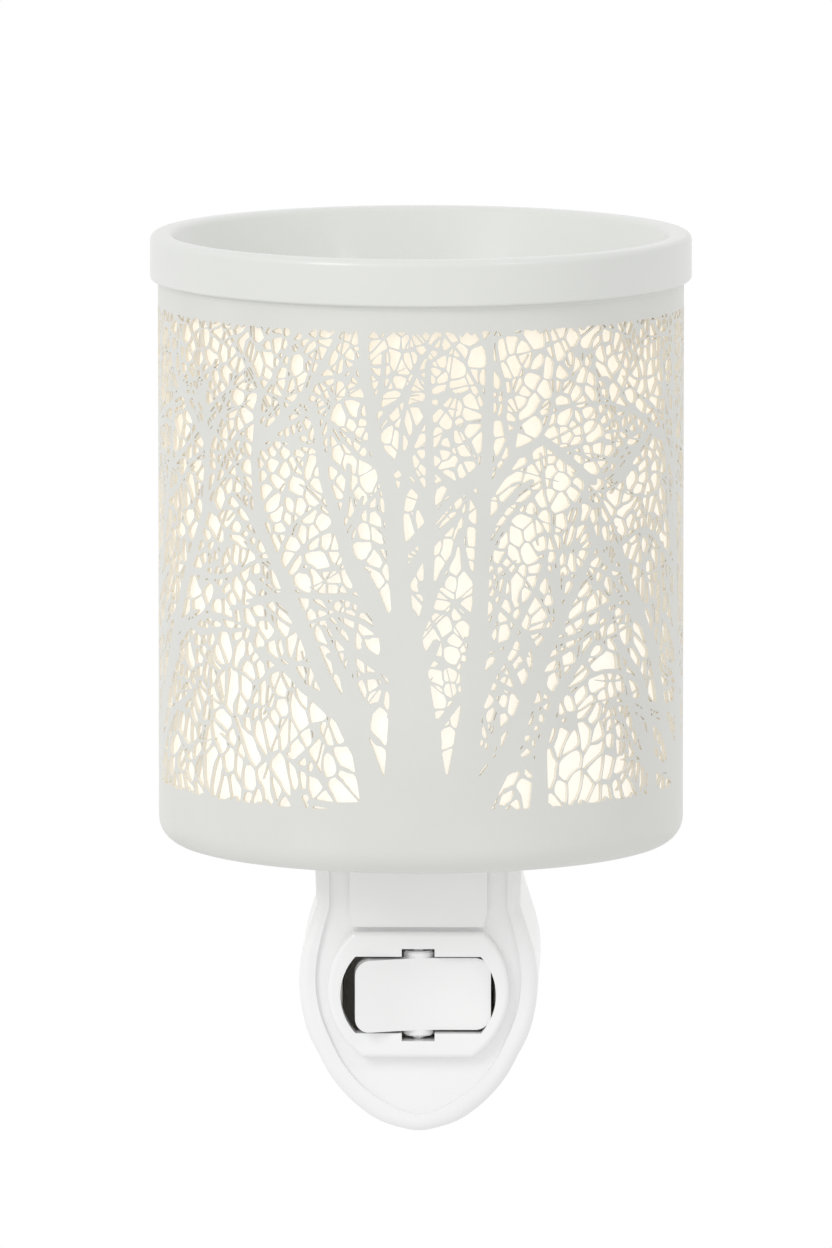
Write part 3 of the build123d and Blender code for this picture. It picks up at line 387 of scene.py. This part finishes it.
def window(x, z, reach):
    """Grid rows and columns within reach of a point, with the offsets from it."""
    c0 = int(math.floor((x - reach + AROUND / 2) / STEP_X))
    c1 = int(math.ceil((x + reach + AROUND / 2) / STEP_X))
    r0 = max(0, int(math.floor((z - reach - PATTERN_LOW) / STEP_Z)))
    r1 = min(ROWS - 1, int(math.ceil((z + reach - PATTERN_LOW) / STEP_Z)))
    if r1 < r0:
        return None
    cols = np.arange(c0, c1 + 1)
    dx = (cols + 0.5) * STEP_X - AROUND / 2 - x
    dz = GRID_Z[r0 : r1 + 1] - z
    return slice(r0, r1 + 1), cols % COLUMNS, dx[None, :], dz[:, None]


def grid_value(field, x, z):
    """The field's value at the grid place nearest to a point."""
    c = int(round((x + AROUND / 2) / STEP_X - 0.5)) % COLUMNS
    r = min(max(int(round((z - PATTERN_LOW) / STEP_Z)), 0), ROWS - 1)
    return float(field[r, c])


def limb_fields(runs):
    """Distance outside the nearest run, below zero in it, and the direction it runs in."""
    distance = np.full((ROWS, COLUMNS), FAR, np.float32)
    heading = np.full((ROWS, COLUMNS), math.pi / 2, np.float32)
    for run in runs:
        for (x0, z0, h0), (x1, z1, h1) in zip(run, run[1:]):
            length = math.hypot(x1 - x0, z1 - z0)
            reach = length / 2 + max(h0, h1) + LIMB_REACH
            part = window((x0 + x1) / 2, (z0 + z1) / 2, reach)
            if part is None:
                continue
            rows, cols, dx, dz = part
            ux, uz = (x1 - x0) / length, (z1 - z0) / length
            along = (dx * ux + dz * uz) + length / 2
            t = np.clip(along / length, 0, 1)
            away = np.hypot(along - t * length, dx * uz - dz * ux) - (h0 + t * (h1 - h0))
            old, lean = distance[rows], heading[rows]
            nearer = away < old[:, cols]
            old[:, cols] = np.where(nearer, away, old[:, cols])
            lean[:, cols] = np.where(nearer, math.atan2(uz, ux), lean[:, cols])
    return distance, heading


# Seeds of the twig web. The open share makes the web sparse in some patches, low on the shade
# and away from limbs, and the seeds' gap and number follow it
SEED_TRIES = 17000
SEED_INSIDE_LIMB = -0.1
SEED_SKIP = 0.72
SEED_GAP = (0.6, 1.0)
OPEN_GAP = 0.8
OPEN_MIDDLE = 0.5
OPEN_PATCH = 0.55
OPEN_LOW = 0.3
OPEN_AWAY = 0.06
AWAY_MOST = 3.0
PATCH_WAVE = (0.31, 1.6, 0.19, 0.27, 1.9, 0.21)
# A seed's heading strays from its limb's, more so high up, and its cell is longer low down
LEAN_SPREAD = 0.3
LEAN_SPREAD_HIGH = 0.5
STRETCH_LOW = 1.7
STRETCH_CURVE = 1.5
STRETCH_SPREAD = 0.45
# Taken places are kept in square bins, so that only near ones are compared
BIN = 4.0


def ripple(x, z, wave, sine, amount=1.0, phase=0.0):
    """Smooth uneven patches from two crossed waves that bend each other."""
    x_scale, x_bend, z_sway, z_scale, z_bend, x_sway = wave
    return (amount * sine(x_scale * x + x_bend * sine(z_sway * z + phase))
            * sine(z_scale * z + z_bend * sine(x_sway * x)))


def seed_distance(dx, dz, lean, stretch):
    """Distance from a seed, shorter along its heading."""
    along = dx * math.cos(lean) + dz * math.sin(lean)
    aside = dx * math.sin(lean) - dz * math.cos(lean)
    return np.sqrt((along / stretch) ** 2 + aside**2)


def web_seeds(limb_away, limb_heading):
    """Seeds of the twig web, each as (x, z, heading, stretch)."""
    seeds = []
    taken = {}
    bins = int(AROUND / BIN)
    for _ in range(SEED_TRIES):
        x = dice.uniform(-AROUND / 2, AROUND / 2)
        z = dice.uniform(PATTERN_LOW, PATTERN_HIGH)
        away = grid_value(limb_away, x, z)
        if away < SEED_INSIDE_LIMB:
            continue
        high = (z - PATTERN_LOW) / RISE
        open_share = OPEN_MIDDLE + OPEN_PATCH * ripple(x, z, PATCH_WAVE, math.sin)
        open_share += OPEN_LOW * (1 - high) ** 2
        open_share += OPEN_AWAY * min(away, AWAY_MOST)
        open_share = min(max(open_share, 0.0), 1.0)
        if dice.random() < SEED_SKIP * open_share:
            continue
        gap = dice.uniform(*SEED_GAP) + OPEN_GAP * open_share
        lean = grid_value(limb_heading, x, z)
        lean += dice.gauss(0, LEAN_SPREAD + LEAN_SPREAD_HIGH * high)
        stretch = 1.0 + STRETCH_LOW * (1 - high) ** STRETCH_CURVE * dice.random()
        stretch += abs(dice.gauss(0, STRETCH_SPREAD))
        column, row = int((x + AROUND / 2) / BIN), int(z / BIN)
        near = [
            place for i in (-1, 0, 1) for j in (-1, 0, 1)
            for place in taken.get(((column + i) % bins, row + j), ())
        ]
        offsets = [((nx - x + AROUND / 2) % AROUND - AROUND / 2, nz - z) for nx, nz in near]
        if any(seed_distance(dx, dz, lean, stretch) < gap for dx, dz in offsets):
            continue
        taken.setdefault((column % bins, row), []).append((x, z))
        seeds.append((x, z, lean, stretch))
    return seeds


# The web and the pattern. Sharpness says how tightly a soft minimum rounds its corners, and the
# trim is taken off the branches' half width
WEB_REACH = 6.5
WEB_SHARPNESS = 9.0
LIMB_SHARPNESS = 7.0
BRANCH_SHARPNESS = 12.0
BRANCH_TRIM = 0.02
FIELD_MOST = 4.0
TINY = 1e-6
# Half the width of the web's threads: the least, what the mottle adds, and its shift and limit
THREAD_HALF = 0.085
THREAD_SWELL = 0.17
MOTTLE_SHIFT = 0.15
MOTTLE_MOST = 1.3
MOTTLE_WAVE = (0.62, 2.2, 0.31, 0.55, 2.0, 0.43)
MOTTLE_PHASE = 0.5
FINE_MOTTLE = 0.6
FINE_MOTTLE_WAVE = (1.5, 1.7, 1.1, 1.3, 1.6, 0.9)
# The pattern's upper and lower edge: a plain strip, and what its two waves add to it at most
EDGE_STRIP = 0.5
EDGE_RAGGED = 0.9
EDGE_FINE = 1.9
EDGE_COARSE = 0.47
# Half the plain strip over the sheet's seam
SEAM_STRIP = 0.5


def web_field(seeds):
    """Distance to the nearest border between two cells of the web, with soft corners."""
    nearest = np.full((ROWS, COLUMNS), FAR, np.float32)
    for x, z, lean, stretch in seeds:
        rows, cols, dx, dz = window(x, z, WEB_REACH)
        away = seed_distance(dx, dz, lean, stretch)
        view = nearest[rows]
        view[:, cols] = np.minimum(view[:, cols], away)
    total = np.zeros((ROWS, COLUMNS), np.float32)
    for x, z, lean, stretch in seeds:
        rows, cols, dx, dz = window(x, z, WEB_REACH)
        away = seed_distance(dx, dz, lean, stretch)
        view = total[rows]
        view[:, cols] += np.exp(-WEB_SHARPNESS * (away - nearest[rows][:, cols]))
    return -np.log(np.maximum(total - 1.0, TINY)) / WEB_SHARPNESS / 2


def soft_least(a, b, sharpness):
    """The smaller of two fields, rounded where they meet."""
    return -np.log(np.exp(-sharpness * a) + np.exp(-sharpness * b)) / sharpness


def pattern_field():
    """Above zero where the sheet is cut out: the web's cells, cut back by limbs and edges."""
    limbs = limb_runs()
    branches = branch_runs(limbs)
    limb_away, limb_heading = limb_fields(limbs)
    branch_away, _ = limb_fields(branches)
    web = web_field(web_seeds(limb_away, limb_heading))
    across, up = GRID_X[None, :], GRID_Z[:, None]
    mottle = ripple(across, up, MOTTLE_WAVE, np.sin, phase=MOTTLE_PHASE)
    mottle += ripple(across, up, FINE_MOTTLE_WAVE, np.sin, amount=FINE_MOTTLE)
    thread = THREAD_HALF + THREAD_SWELL * np.clip(mottle + MOTTLE_SHIFT, 0, MOTTLE_MOST)
    openness = soft_least(web - thread, np.minimum(limb_away, FIELD_MOST), LIMB_SHARPNESS)
    beside = np.minimum(branch_away, FIELD_MOST) + BRANCH_TRIM
    openness = soft_least(openness, beside, BRANCH_SHARPNESS)
    edge = np.minimum(GRID_Z - PATTERN_LOW, PATTERN_HIGH - GRID_Z)[:, None]
    fine, coarse = np.sin(GRID_X * EDGE_FINE), np.sin(GRID_X * EDGE_COARSE + 1.0)
    ragged = EDGE_STRIP + EDGE_RAGGED * fine**2 * coarse**2
    openness = np.minimum(openness, edge - ragged[None, :])
    seam = (AROUND / 2 - np.abs(GRID_X))[None, :]
    openness = np.minimum(openness, seam - SEAM_STRIP)
    openness[0, :] = openness[-1, :] = -EDGE_STRIP
    return openness


# Outlines of the holes. A grid square's code has a bit for each corner that is inside, and for
# each code the table gives the sides where an outline comes in and goes out
SQUARE_SIDES = {
    1: ((3, 0),), 2: ((0, 1),), 3: ((3, 1),), 4: ((1, 2),), 5: ((3, 0), (1, 2)), 6: ((0, 2),),
    7: ((3, 2),), 8: ((2, 3),), 9: ((2, 0),), 10: ((0, 1), (2, 3)), 11: ((2, 1),),
    12: ((1, 3),), 13: ((1, 0),), 14: ((0, 3),),
}
LOOP_POINTS_LEAST = 8
HOLE_CORNERS_LEAST = 4
HOLE_AREA_LEAST = 0.12
THINNING = 0.065


def loops_of(field):
    """Closed outlines of the places where the field is above zero, in grid units."""
    inside = field > 0
    points = {}
    follow = {}

    def crossing(r, c, down):
        """The key of the point where the field is zero between a grid place and the next."""
        key = (r, c, down)
        if key not in points:
            a = field[r, c]
            b = field[r + 1, c] if down else field[r, c + 1]
            t = a / (a - b)
            points[key] = (c + (0 if down else t), r + (t if down else 0))
        return key

    code = inside[:-1, :-1] * 1 + inside[:-1, 1:] * 2 + inside[1:, 1:] * 4 + inside[1:, :-1] * 8
    crossed = np.argwhere((code > 0) & (code < 15))
    for r, c in crossed.tolist():
        sides = ((r, c, False), (r, c + 1, True), (r + 1, c, False), (r, c, True))
        for start, end in SQUARE_SIDES[int(code[r, c])]:
            follow[crossing(*sides[start])] = crossing(*sides[end])
    loops = []
    while follow:
        key = next(iter(follow))
        loop = []
        while key in follow:
            loop.append(points[key])
            key = follow.pop(key)
        loops.append(loop)
    return loops


def area_of(loop):
    """The signed area of a flat loop."""
    return sum(a[0] * b[1] - b[0] * a[1] for a, b in zip(loop, loop[1:] + loop[:1])) / 2


def thinned(loop, tolerance):
    """The loop without the points that lie almost on a straight line between others."""
    half = len(loop) // 2

    def cut(points):
        if len(points) < 3:
            return points[:1]
        (x0, z0), (x1, z1) = points[0], points[-1]
        length = math.hypot(x1 - x0, z1 - z0) or TINY
        far, place = 0, 0
        for i in range(1, len(points) - 1):
            x, z = points[i]
            away = abs((x - x0) * (z1 - z0) - (z - z0) * (x1 - x0)) / length
            if away > far:
                far, place = away, i
        if far < tolerance:
            return points[:1]
        return cut(points[: place + 1]) + cut(points[place:])

    return cut(loop[: half + 1]) + cut(loop[half:] + loop[:1])


def pattern_holes(openness):
    """The holes of the pattern as flat outlines that all turn the same way."""
    holes = []
    for loop in loops_of(openness):
        flat = [((c + 0.5) * STEP_X - AROUND / 2, PATTERN_LOW + r * STEP_Z) for c, r in loop]
        area = area_of(flat)
        if len(flat) < LOOP_POINTS_LEAST or abs(area) < HOLE_AREA_LEAST:
            continue
        if area < 0:
            flat.reverse()
        flat = thinned(flat, THINNING)
        if len(flat) >= HOLE_CORNERS_LEAST:
            holes.append(flat)
    return holes


# The shade's mesh
RING_STEPS = 144
RING = [AROUND * (i / RING_STEPS - 0.5) for i in range(RING_STEPS + 1)]
SIDE_STEPS = 24
CORNER_STEPS = 8
# A row in the middle of the floor keeps its quads short
FLOOR_ROW_R = 28.0
# Points that fill the sheet's plain places, clear of its borders and of the holes
FILL_COLUMNS = 65
FILL_ROWS = 40
FILL_MARGIN = 1.2
FILL_CLEAR = 0.9
TOUCH = 1e-4
TRIANGULATION_TOLERANCE = 1e-5
WELD = 0.002
SHADE_SHARP = math.radians(35)
ENAMEL_SLOT, CUT_SLOT = 0, 1


def meets(value, limit):
    """Whether a place lies on a line, within the triangulation's accuracy."""
    return abs(value - limit) < TOUCH


def flat_sheet(openness, holes):
    """The pierced sheet, flat: its points, and its triangles by the numbers of their points."""
    heights = [SHEET_LOW + (SHADE_TOP - SHEET_LOW) * i / SIDE_STEPS for i in range(SIDE_STEPS + 1)]
    border = [(x, SHEET_LOW) for x in RING] + [(AROUND / 2, z) for z in heights[1:-1]]
    border += [(x, SHADE_TOP) for x in RING[::-1]] + [(-AROUND / 2, z) for z in heights[-2:0:-1]]
    flat = [Vector(place) for place in border]
    faces = [list(range(len(border)))]
    for hole in holes:
        faces.append(list(range(len(flat), len(flat) + len(hole))))
        flat += [Vector(place) for place in hole]
    span = SHADE_TOP - SHEET_LOW - 2 * FILL_MARGIN
    for i in range(1 - FILL_COLUMNS, FILL_COLUMNS):
        for j in range(FILL_ROWS):
            x = AROUND / 2 * i / FILL_COLUMNS
            z = SHEET_LOW + FILL_MARGIN + span * (j + 0.5 * (i % 2)) / FILL_ROWS
            in_pattern = PATTERN_LOW <= z <= PATTERN_HIGH
            if not in_pattern or grid_value(openness, x, z) < -FILL_CLEAR:
                flat.append(Vector((x, z)))
    points, _, triangles, _, _, origins = delaunay_2d_cdt(
        flat, [], faces, 0, TRIANGULATION_TOLERANCE, True)
    # The sheet is where a triangle lies in the border, face 0, and in no hole
    sheet = [list(t) for t, origin in zip(triangles, origins) if list(origin) == [0]]
    for triangle in sheet:
        a, b, c = (points[i] for i in triangle)
        if (b - a).cross(c - a) < 0:
            triangle.reverse()
    return points, sheet


def floor_rows():
    """Rows of (radius, height) from the sheet's inner foot over the floor to its outer foot."""
    middle = SHADE_R - CORNER
    small = CORNER - WALL
    bends = [math.pi / 2 * i / CORNER_STEPS for i in range(CORNER_STEPS + 1)]
    outer = [(middle + CORNER * math.cos(a), SHEET_LOW - CORNER * math.sin(a)) for a in bends]
    inner = [(middle + small * math.cos(a), SHEET_LOW - small * math.sin(a)) for a in bends]
    floor_top = SHADE_BOTTOM + WALL
    floor = [(FLOOR_ROW_R, floor_top), (HOLE_R, floor_top),
             (HOLE_R, SHADE_BOTTOM), (FLOOR_ROW_R, SHADE_BOTTOM)]
    return inner + floor + outer[::-1]


def wrapped_point(x, z, radius):
    """A point of the flat sheet, wrapped round the lamp's axis, in metres."""
    angle = x / SHADE_R
    return (radius * math.sin(angle) * MM, (AXIS_Y - radius * math.cos(angle)) * MM, z * MM)


def shade_mesh(openness):
    """The pierced sheet with its thickness, rounded corner and floor, as one closed mesh."""
    points, sheet = flat_sheet(openness, pattern_holes(openness))
    numbers = {}
    vertices = []

    def vertex(x, z, radius):
        """The number of the vertex at a place, one for both sides of the seam."""
        place = 0.0 if meets(abs(x), AROUND / 2) else round((x + AROUND / 2) % AROUND, 4)
        key = (place, round(z, 4), round(radius, 4))
        if key not in numbers:
            numbers[key] = len(vertices)
            vertices.append(wrapped_point(x, z, radius))
        return numbers[key]

    outer = [vertex(x, z, SHADE_R) for x, z in points]
    inner = [vertex(x, z, SHADE_R - WALL) for x, z in points]
    polygons = []
    slots = []
    edges = {}
    for a, b, c in sheet:
        polygons.append((outer[a], outer[b], outer[c]))
        polygons.append((inner[c], inner[b], inner[a]))
        slots += [ENAMEL_SLOT, ENAMEL_SLOT]
        edges.update(dict.fromkeys(((a, b), (b, c), (c, a))))
    for a, b in edges:
        if (b, a) in edges:
            continue
        (xa, za), (xb, zb) = points[a], points[b]
        at_foot = meets(za, SHEET_LOW) and meets(zb, SHEET_LOW)
        at_seam = meets(abs(xa), AROUND / 2) and meets(abs(xb), AROUND / 2)
        if at_foot or at_seam:
            continue
        at_top = meets(za, SHADE_TOP) and meets(zb, SHADE_TOP)
        # The holes' walls take the cut-wall material with its painted glow; the top edge keeps the
        # enamel
        polygons.append((outer[b], outer[a], inner[a], inner[b]))
        slots.append(ENAMEL_SLOT if at_top else CUT_SLOT)
    rows = floor_rows()
    for (r0, z0), (r1, z1) in zip(rows, rows[1:]):
        for xa, xb in zip(RING, RING[1:]):
            polygons.append((
                vertex(xa, z0, r0), vertex(xb, z0, r0), vertex(xb, z1, r1), vertex(xa, z1, r1)
            ))
            slots.append(ENAMEL_SLOT)

    mesh = bpy.data.meshes.new("shade_pierced")
    mesh.from_pydata(vertices, [], polygons)
    for polygon, slot in zip(mesh.polygons, slots):
        polygon.material_index = slot
        polygon.use_smooth = True
    work = bmesh.new()
    work.from_mesh(mesh)
    bmesh.ops.remove_doubles(work, verts=work.verts, dist=WELD * MM)
    work.to_mesh(mesh)
    work.free()
    mesh.materials.append(enamel)
    mesh.materials.append(painted_glow_edge)
    mesh.set_sharp_from_angle(angle=SHADE_SHARP)
    return mesh


shade = linked("shade_pierced", shade_mesh(pattern_field()))
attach(shade, "warmer")
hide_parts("shade")


# Glazed dish
# Corners of the dish's section as (radius, height, rounding): the solid's own section with a
# thinner rim, a flared mouth and a drip groove under the rim
DISH = (
    (0, 94.5, 0), (30.45, 94.5, 0.8), (32.95, 97.0, 0.6), (37.43, 109.8, 0.4), (41.1, 109.8, 0.4),
    (41.1, 113.3, 0), (42.5, 113.3, 0), (42.5, 113.9, 0), (43.75, 113.9, 0.45),
    (43.75, 121.3, 1.1), (40.3, 121.3, 1.5), (36.1, 113.0, 6.0), (30.45, 97.0, 7.0), (0, 97.0, 0),
)
DISH_TURNS = 160
ARC_STEPS_LEAST = 4
ARC_STEP_DEGREES = 7
DISH_SHARP = math.radians(40)


def rounded_section(corners):
    """The section's points, with an arc in place of each rounded corner."""
    points = []
    for i, (r, z, rounding) in enumerate(corners):
        if not rounding:
            points.append((r, z))
            continue
        here = Vector((r, z))
        before = (Vector(corners[i - 1][:2]) - here).normalized()
        after = (Vector(corners[(i + 1) % len(corners)][:2]) - here).normalized()
        half = before.angle(after) / 2
        middle = here + (before + after).normalized() * (rounding / math.sin(half))
        start = here + before * (rounding / math.tan(half)) - middle
        end = here + after * (rounding / math.tan(half)) - middle
        sweep = math.degrees(start.angle(end))
        steps = max(ARC_STEPS_LEAST, int(sweep / ARC_STEP_DEGREES))
        for k in range(steps + 1):
            t = k / steps
            arm = (start * (1 - t) + end * t).normalized() * rounding
            points.append(tuple(middle + arm))
    return points


def glazed_dish():
    """The dish, turned round the lamp's axis from its section, flat at both middles."""
    rows = [(r, z) for r, z in rounded_section(DISH) if r > TINY]
    vertices, polygons = [], []
    for r, z in rows:
        for k in range(DISH_TURNS):
            a = 2 * math.pi * k / DISH_TURNS
            vertices.append((r * math.sin(a) * MM, (AXIS_Y - r * math.cos(a)) * MM, z * MM))
    for row in range(len(rows) - 1):
        for k in range(DISH_TURNS):
            a, b = row * DISH_TURNS + k, row * DISH_TURNS + (k + 1) % DISH_TURNS
            polygons.append((a, b, b + DISH_TURNS, a + DISH_TURNS))
    last = (len(rows) - 1) * DISH_TURNS
    polygons.append(tuple(range(DISH_TURNS - 1, -1, -1)))
    polygons.append(tuple(range(last, last + DISH_TURNS)))
    mesh = bpy.data.meshes.new("dish_glazed")
    mesh.from_pydata(vertices, [], polygons)
    for polygon in mesh.polygons:
        polygon.use_smooth = True
    mesh.materials.append(glaze)
    mesh.set_sharp_from_angle(angle=DISH_SHARP)
    piece = linked("dish_glazed", mesh)
    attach(piece, "dish")
    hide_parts("wax_dish")


glazed_dish()


# Housing outline and rocker trunnions
# Height above the blades' axis, and the housing's width there as a share of its solid's
OUTLINE = (
    (-22.5, 1.58), (-21.5, 1.5), (-20.5, 1.34), (-19.4, 1.22), (-18.0, 1.15), (-16.5, 1.105),
    (-14.5, 1.07), (-12.0, 1.048), (-8.0, 1.03), (-3.0, 1.018), (2.0, 1.01), (6.0, 1.0),
    (9.5, 0.975), (13.0, 0.96), (17.0, 0.97), (23.0, 0.985),
)
# Only the outer walls move, from this far out, but below the bezel the whole width does
WALLS_FROM = 13.5
WALLS_OVER = 4.5
BELOW_FROM = -5.0
BELOW_OVER = 10.0

TRUNNION_R = 2.5
TRUNNION_START = 5.6
TRUNNION_END = 6.9
TRUNNION_Y = -66.6
TRUNNION_SEGMENTS = 48
TRUNNION_BEVEL = 0.25
TRUNNION_SHARP = math.radians(35)
LEVEL_WITHIN = 1e-7


def eased(share):
    """A share from 0 to 1 with a soft start and end."""
    return share * share * (3 - 2 * share)


def widened(name, piece_name):
    """A housing half with its outer walls moved to a blunter tip and a slimmer shoulder."""
    mesh = nodes[name].data.copy()
    mesh.name = piece_name
    heights, widths = zip(*OUTLINE)
    count = len(mesh.vertices)
    flat = np.empty(3 * count)
    mesh.vertices.foreach_get("co", flat)
    place = flat.reshape(count, 3)
    x, z = place[:, 0] / MM, place[:, 2] / MM
    walls = eased(np.clip((np.abs(x) - WALLS_FROM) / WALLS_OVER, 0, 1))
    below = eased(np.clip((BELOW_FROM - z) / BELOW_OVER, 0, 1))
    share = np.maximum(walls, below)
    place[:, 0] += (np.interp(z, heights, widths) - 1) * share * place[:, 0]
    mesh.vertices.foreach_set("co", place.reshape(-1))
    mesh.update()
    piece = linked(piece_name, mesh)
    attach(piece, "warmer")
    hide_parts(name)


def trunnions():
    """Round shoulders of the rocker's pivot, one in each notch of the housing."""
    work = bmesh.new()
    depth = TRUNNION_END - TRUNNION_START
    for side in (-1, 1):
        made = bmesh.ops.create_cone(
            work, cap_ends=True, segments=TRUNNION_SEGMENTS, radius1=TRUNNION_R * MM,
            radius2=TRUNNION_R * MM, depth=depth * MM)
        middle = Vector((0, TRUNNION_Y, side * (TRUNNION_START + TRUNNION_END) / 2)) * MM
        bmesh.ops.translate(work, verts=made["verts"], vec=middle)
    rims = [e for e in work.edges if abs(e.verts[0].co.z - e.verts[1].co.z) < LEVEL_WITHIN]
    bmesh.ops.bevel(work, geom=rims, offset=TRUNNION_BEVEL * MM, segments=3, affect="EDGES")
    mesh = bpy.data.meshes.new("rocker_trunnions")
    work.to_mesh(mesh)
    work.free()
    for polygon in mesh.polygons:
        polygon.use_smooth = True
    mesh.materials.append(key_plastic)
    mesh.set_sharp_from_angle(angle=TRUNNION_SHARP)
    piece = linked("rocker_trunnions", mesh)
    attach(piece, "rocker_key")


widened("front_shell", "housing_front")
widened("rear_shell", "housing_rear")
trunnions()


# Floor, world and lamps
# The floor's height and radius are in metres
FLOOR_HEIGHT = -0.30
FLOOR_R = 1.1
FILL = 0.77
LAMP_TARGET = (0, AXIS_Y, 55.0)


def stage_floor():
    """A plain pale floor well below the warmer."""
    bpy.ops.mesh.primitive_circle_add(
        vertices=96, radius=FLOOR_R, fill_type="NGON", location=(0, AXIS_Y * MM, FLOOR_HEIGHT))
    floor = bpy.context.object
    floor.name = "floor"
    material, tree, shader = new_material("floor")
    speckled(tree, shader, (0.90, 0.90, 0.90), (0.93, 0.93, 0.93), speckle=3.0)
    shader.inputs["Roughness"].default_value = 0.9
    floor.data.materials.append(material)


def studio_world():
    """White where the camera, glass or gloss shows it, with a softer fill light elsewhere."""
    world = bpy.data.worlds.new("studio")
    world.use_nodes = True
    tree = world.node_tree
    background = tree.nodes["Background"]
    background.inputs["Color"].default_value = (1, 1, 1, 1)
    path = tree.nodes.new("ShaderNodeLightPath")
    seen = tree.nodes.new("ShaderNodeMath")
    seen.operation = "MAXIMUM"
    shown = tree.nodes.new("ShaderNodeMath")
    shown.operation = "MAXIMUM"
    level = new_node(tree, "ShaderNodeMapRange", {"To Min": FILL, "To Max": 1.0})
    tree.links.new(path.outputs["Is Camera Ray"], seen.inputs[0])
    tree.links.new(path.outputs["Is Transmission Ray"], seen.inputs[1])
    tree.links.new(seen.outputs["Value"], shown.inputs[0])
    tree.links.new(path.outputs["Is Glossy Ray"], shown.inputs[1])
    tree.links.new(shown.outputs["Value"], level.inputs["Value"])
    tree.links.new(level.outputs["Result"], background.inputs["Strength"])
    bpy.context.scene.world = world


def soft_lamp(name, azimuth, elevation, distance, size, power):
    """A soft box aimed at the warmer, with its distance and size in metres.

    Azimuth 0 is in front and positive to the right.
    """
    data = bpy.data.lights.new(name, "AREA")
    data.shape = "RECTANGLE"
    data.size, data.size_y = size
    data.energy = power
    lamp = linked(name, data)
    a, e = math.radians(azimuth), math.radians(elevation)
    target = Vector(LAMP_TARGET) * MM
    lamp.location = target + distance * Vector(
        (math.sin(a) * math.cos(e), -math.cos(a) * math.cos(e), math.sin(e)))
    lamp.rotation_euler = (target - lamp.location).to_track_quat("-Z", "Y").to_euler()


stage_floor()
studio_world()
soft_lamp("key_left", azimuth=-40, elevation=32, distance=1.6, size=(0.45, 0.7), power=5.5)
soft_lamp("key_right", azimuth=46, elevation=38, distance=1.8, size=(0.3, 0.5), power=1.6)

scene = bpy.context.scene
scene.view_settings.view_transform = "Standard"
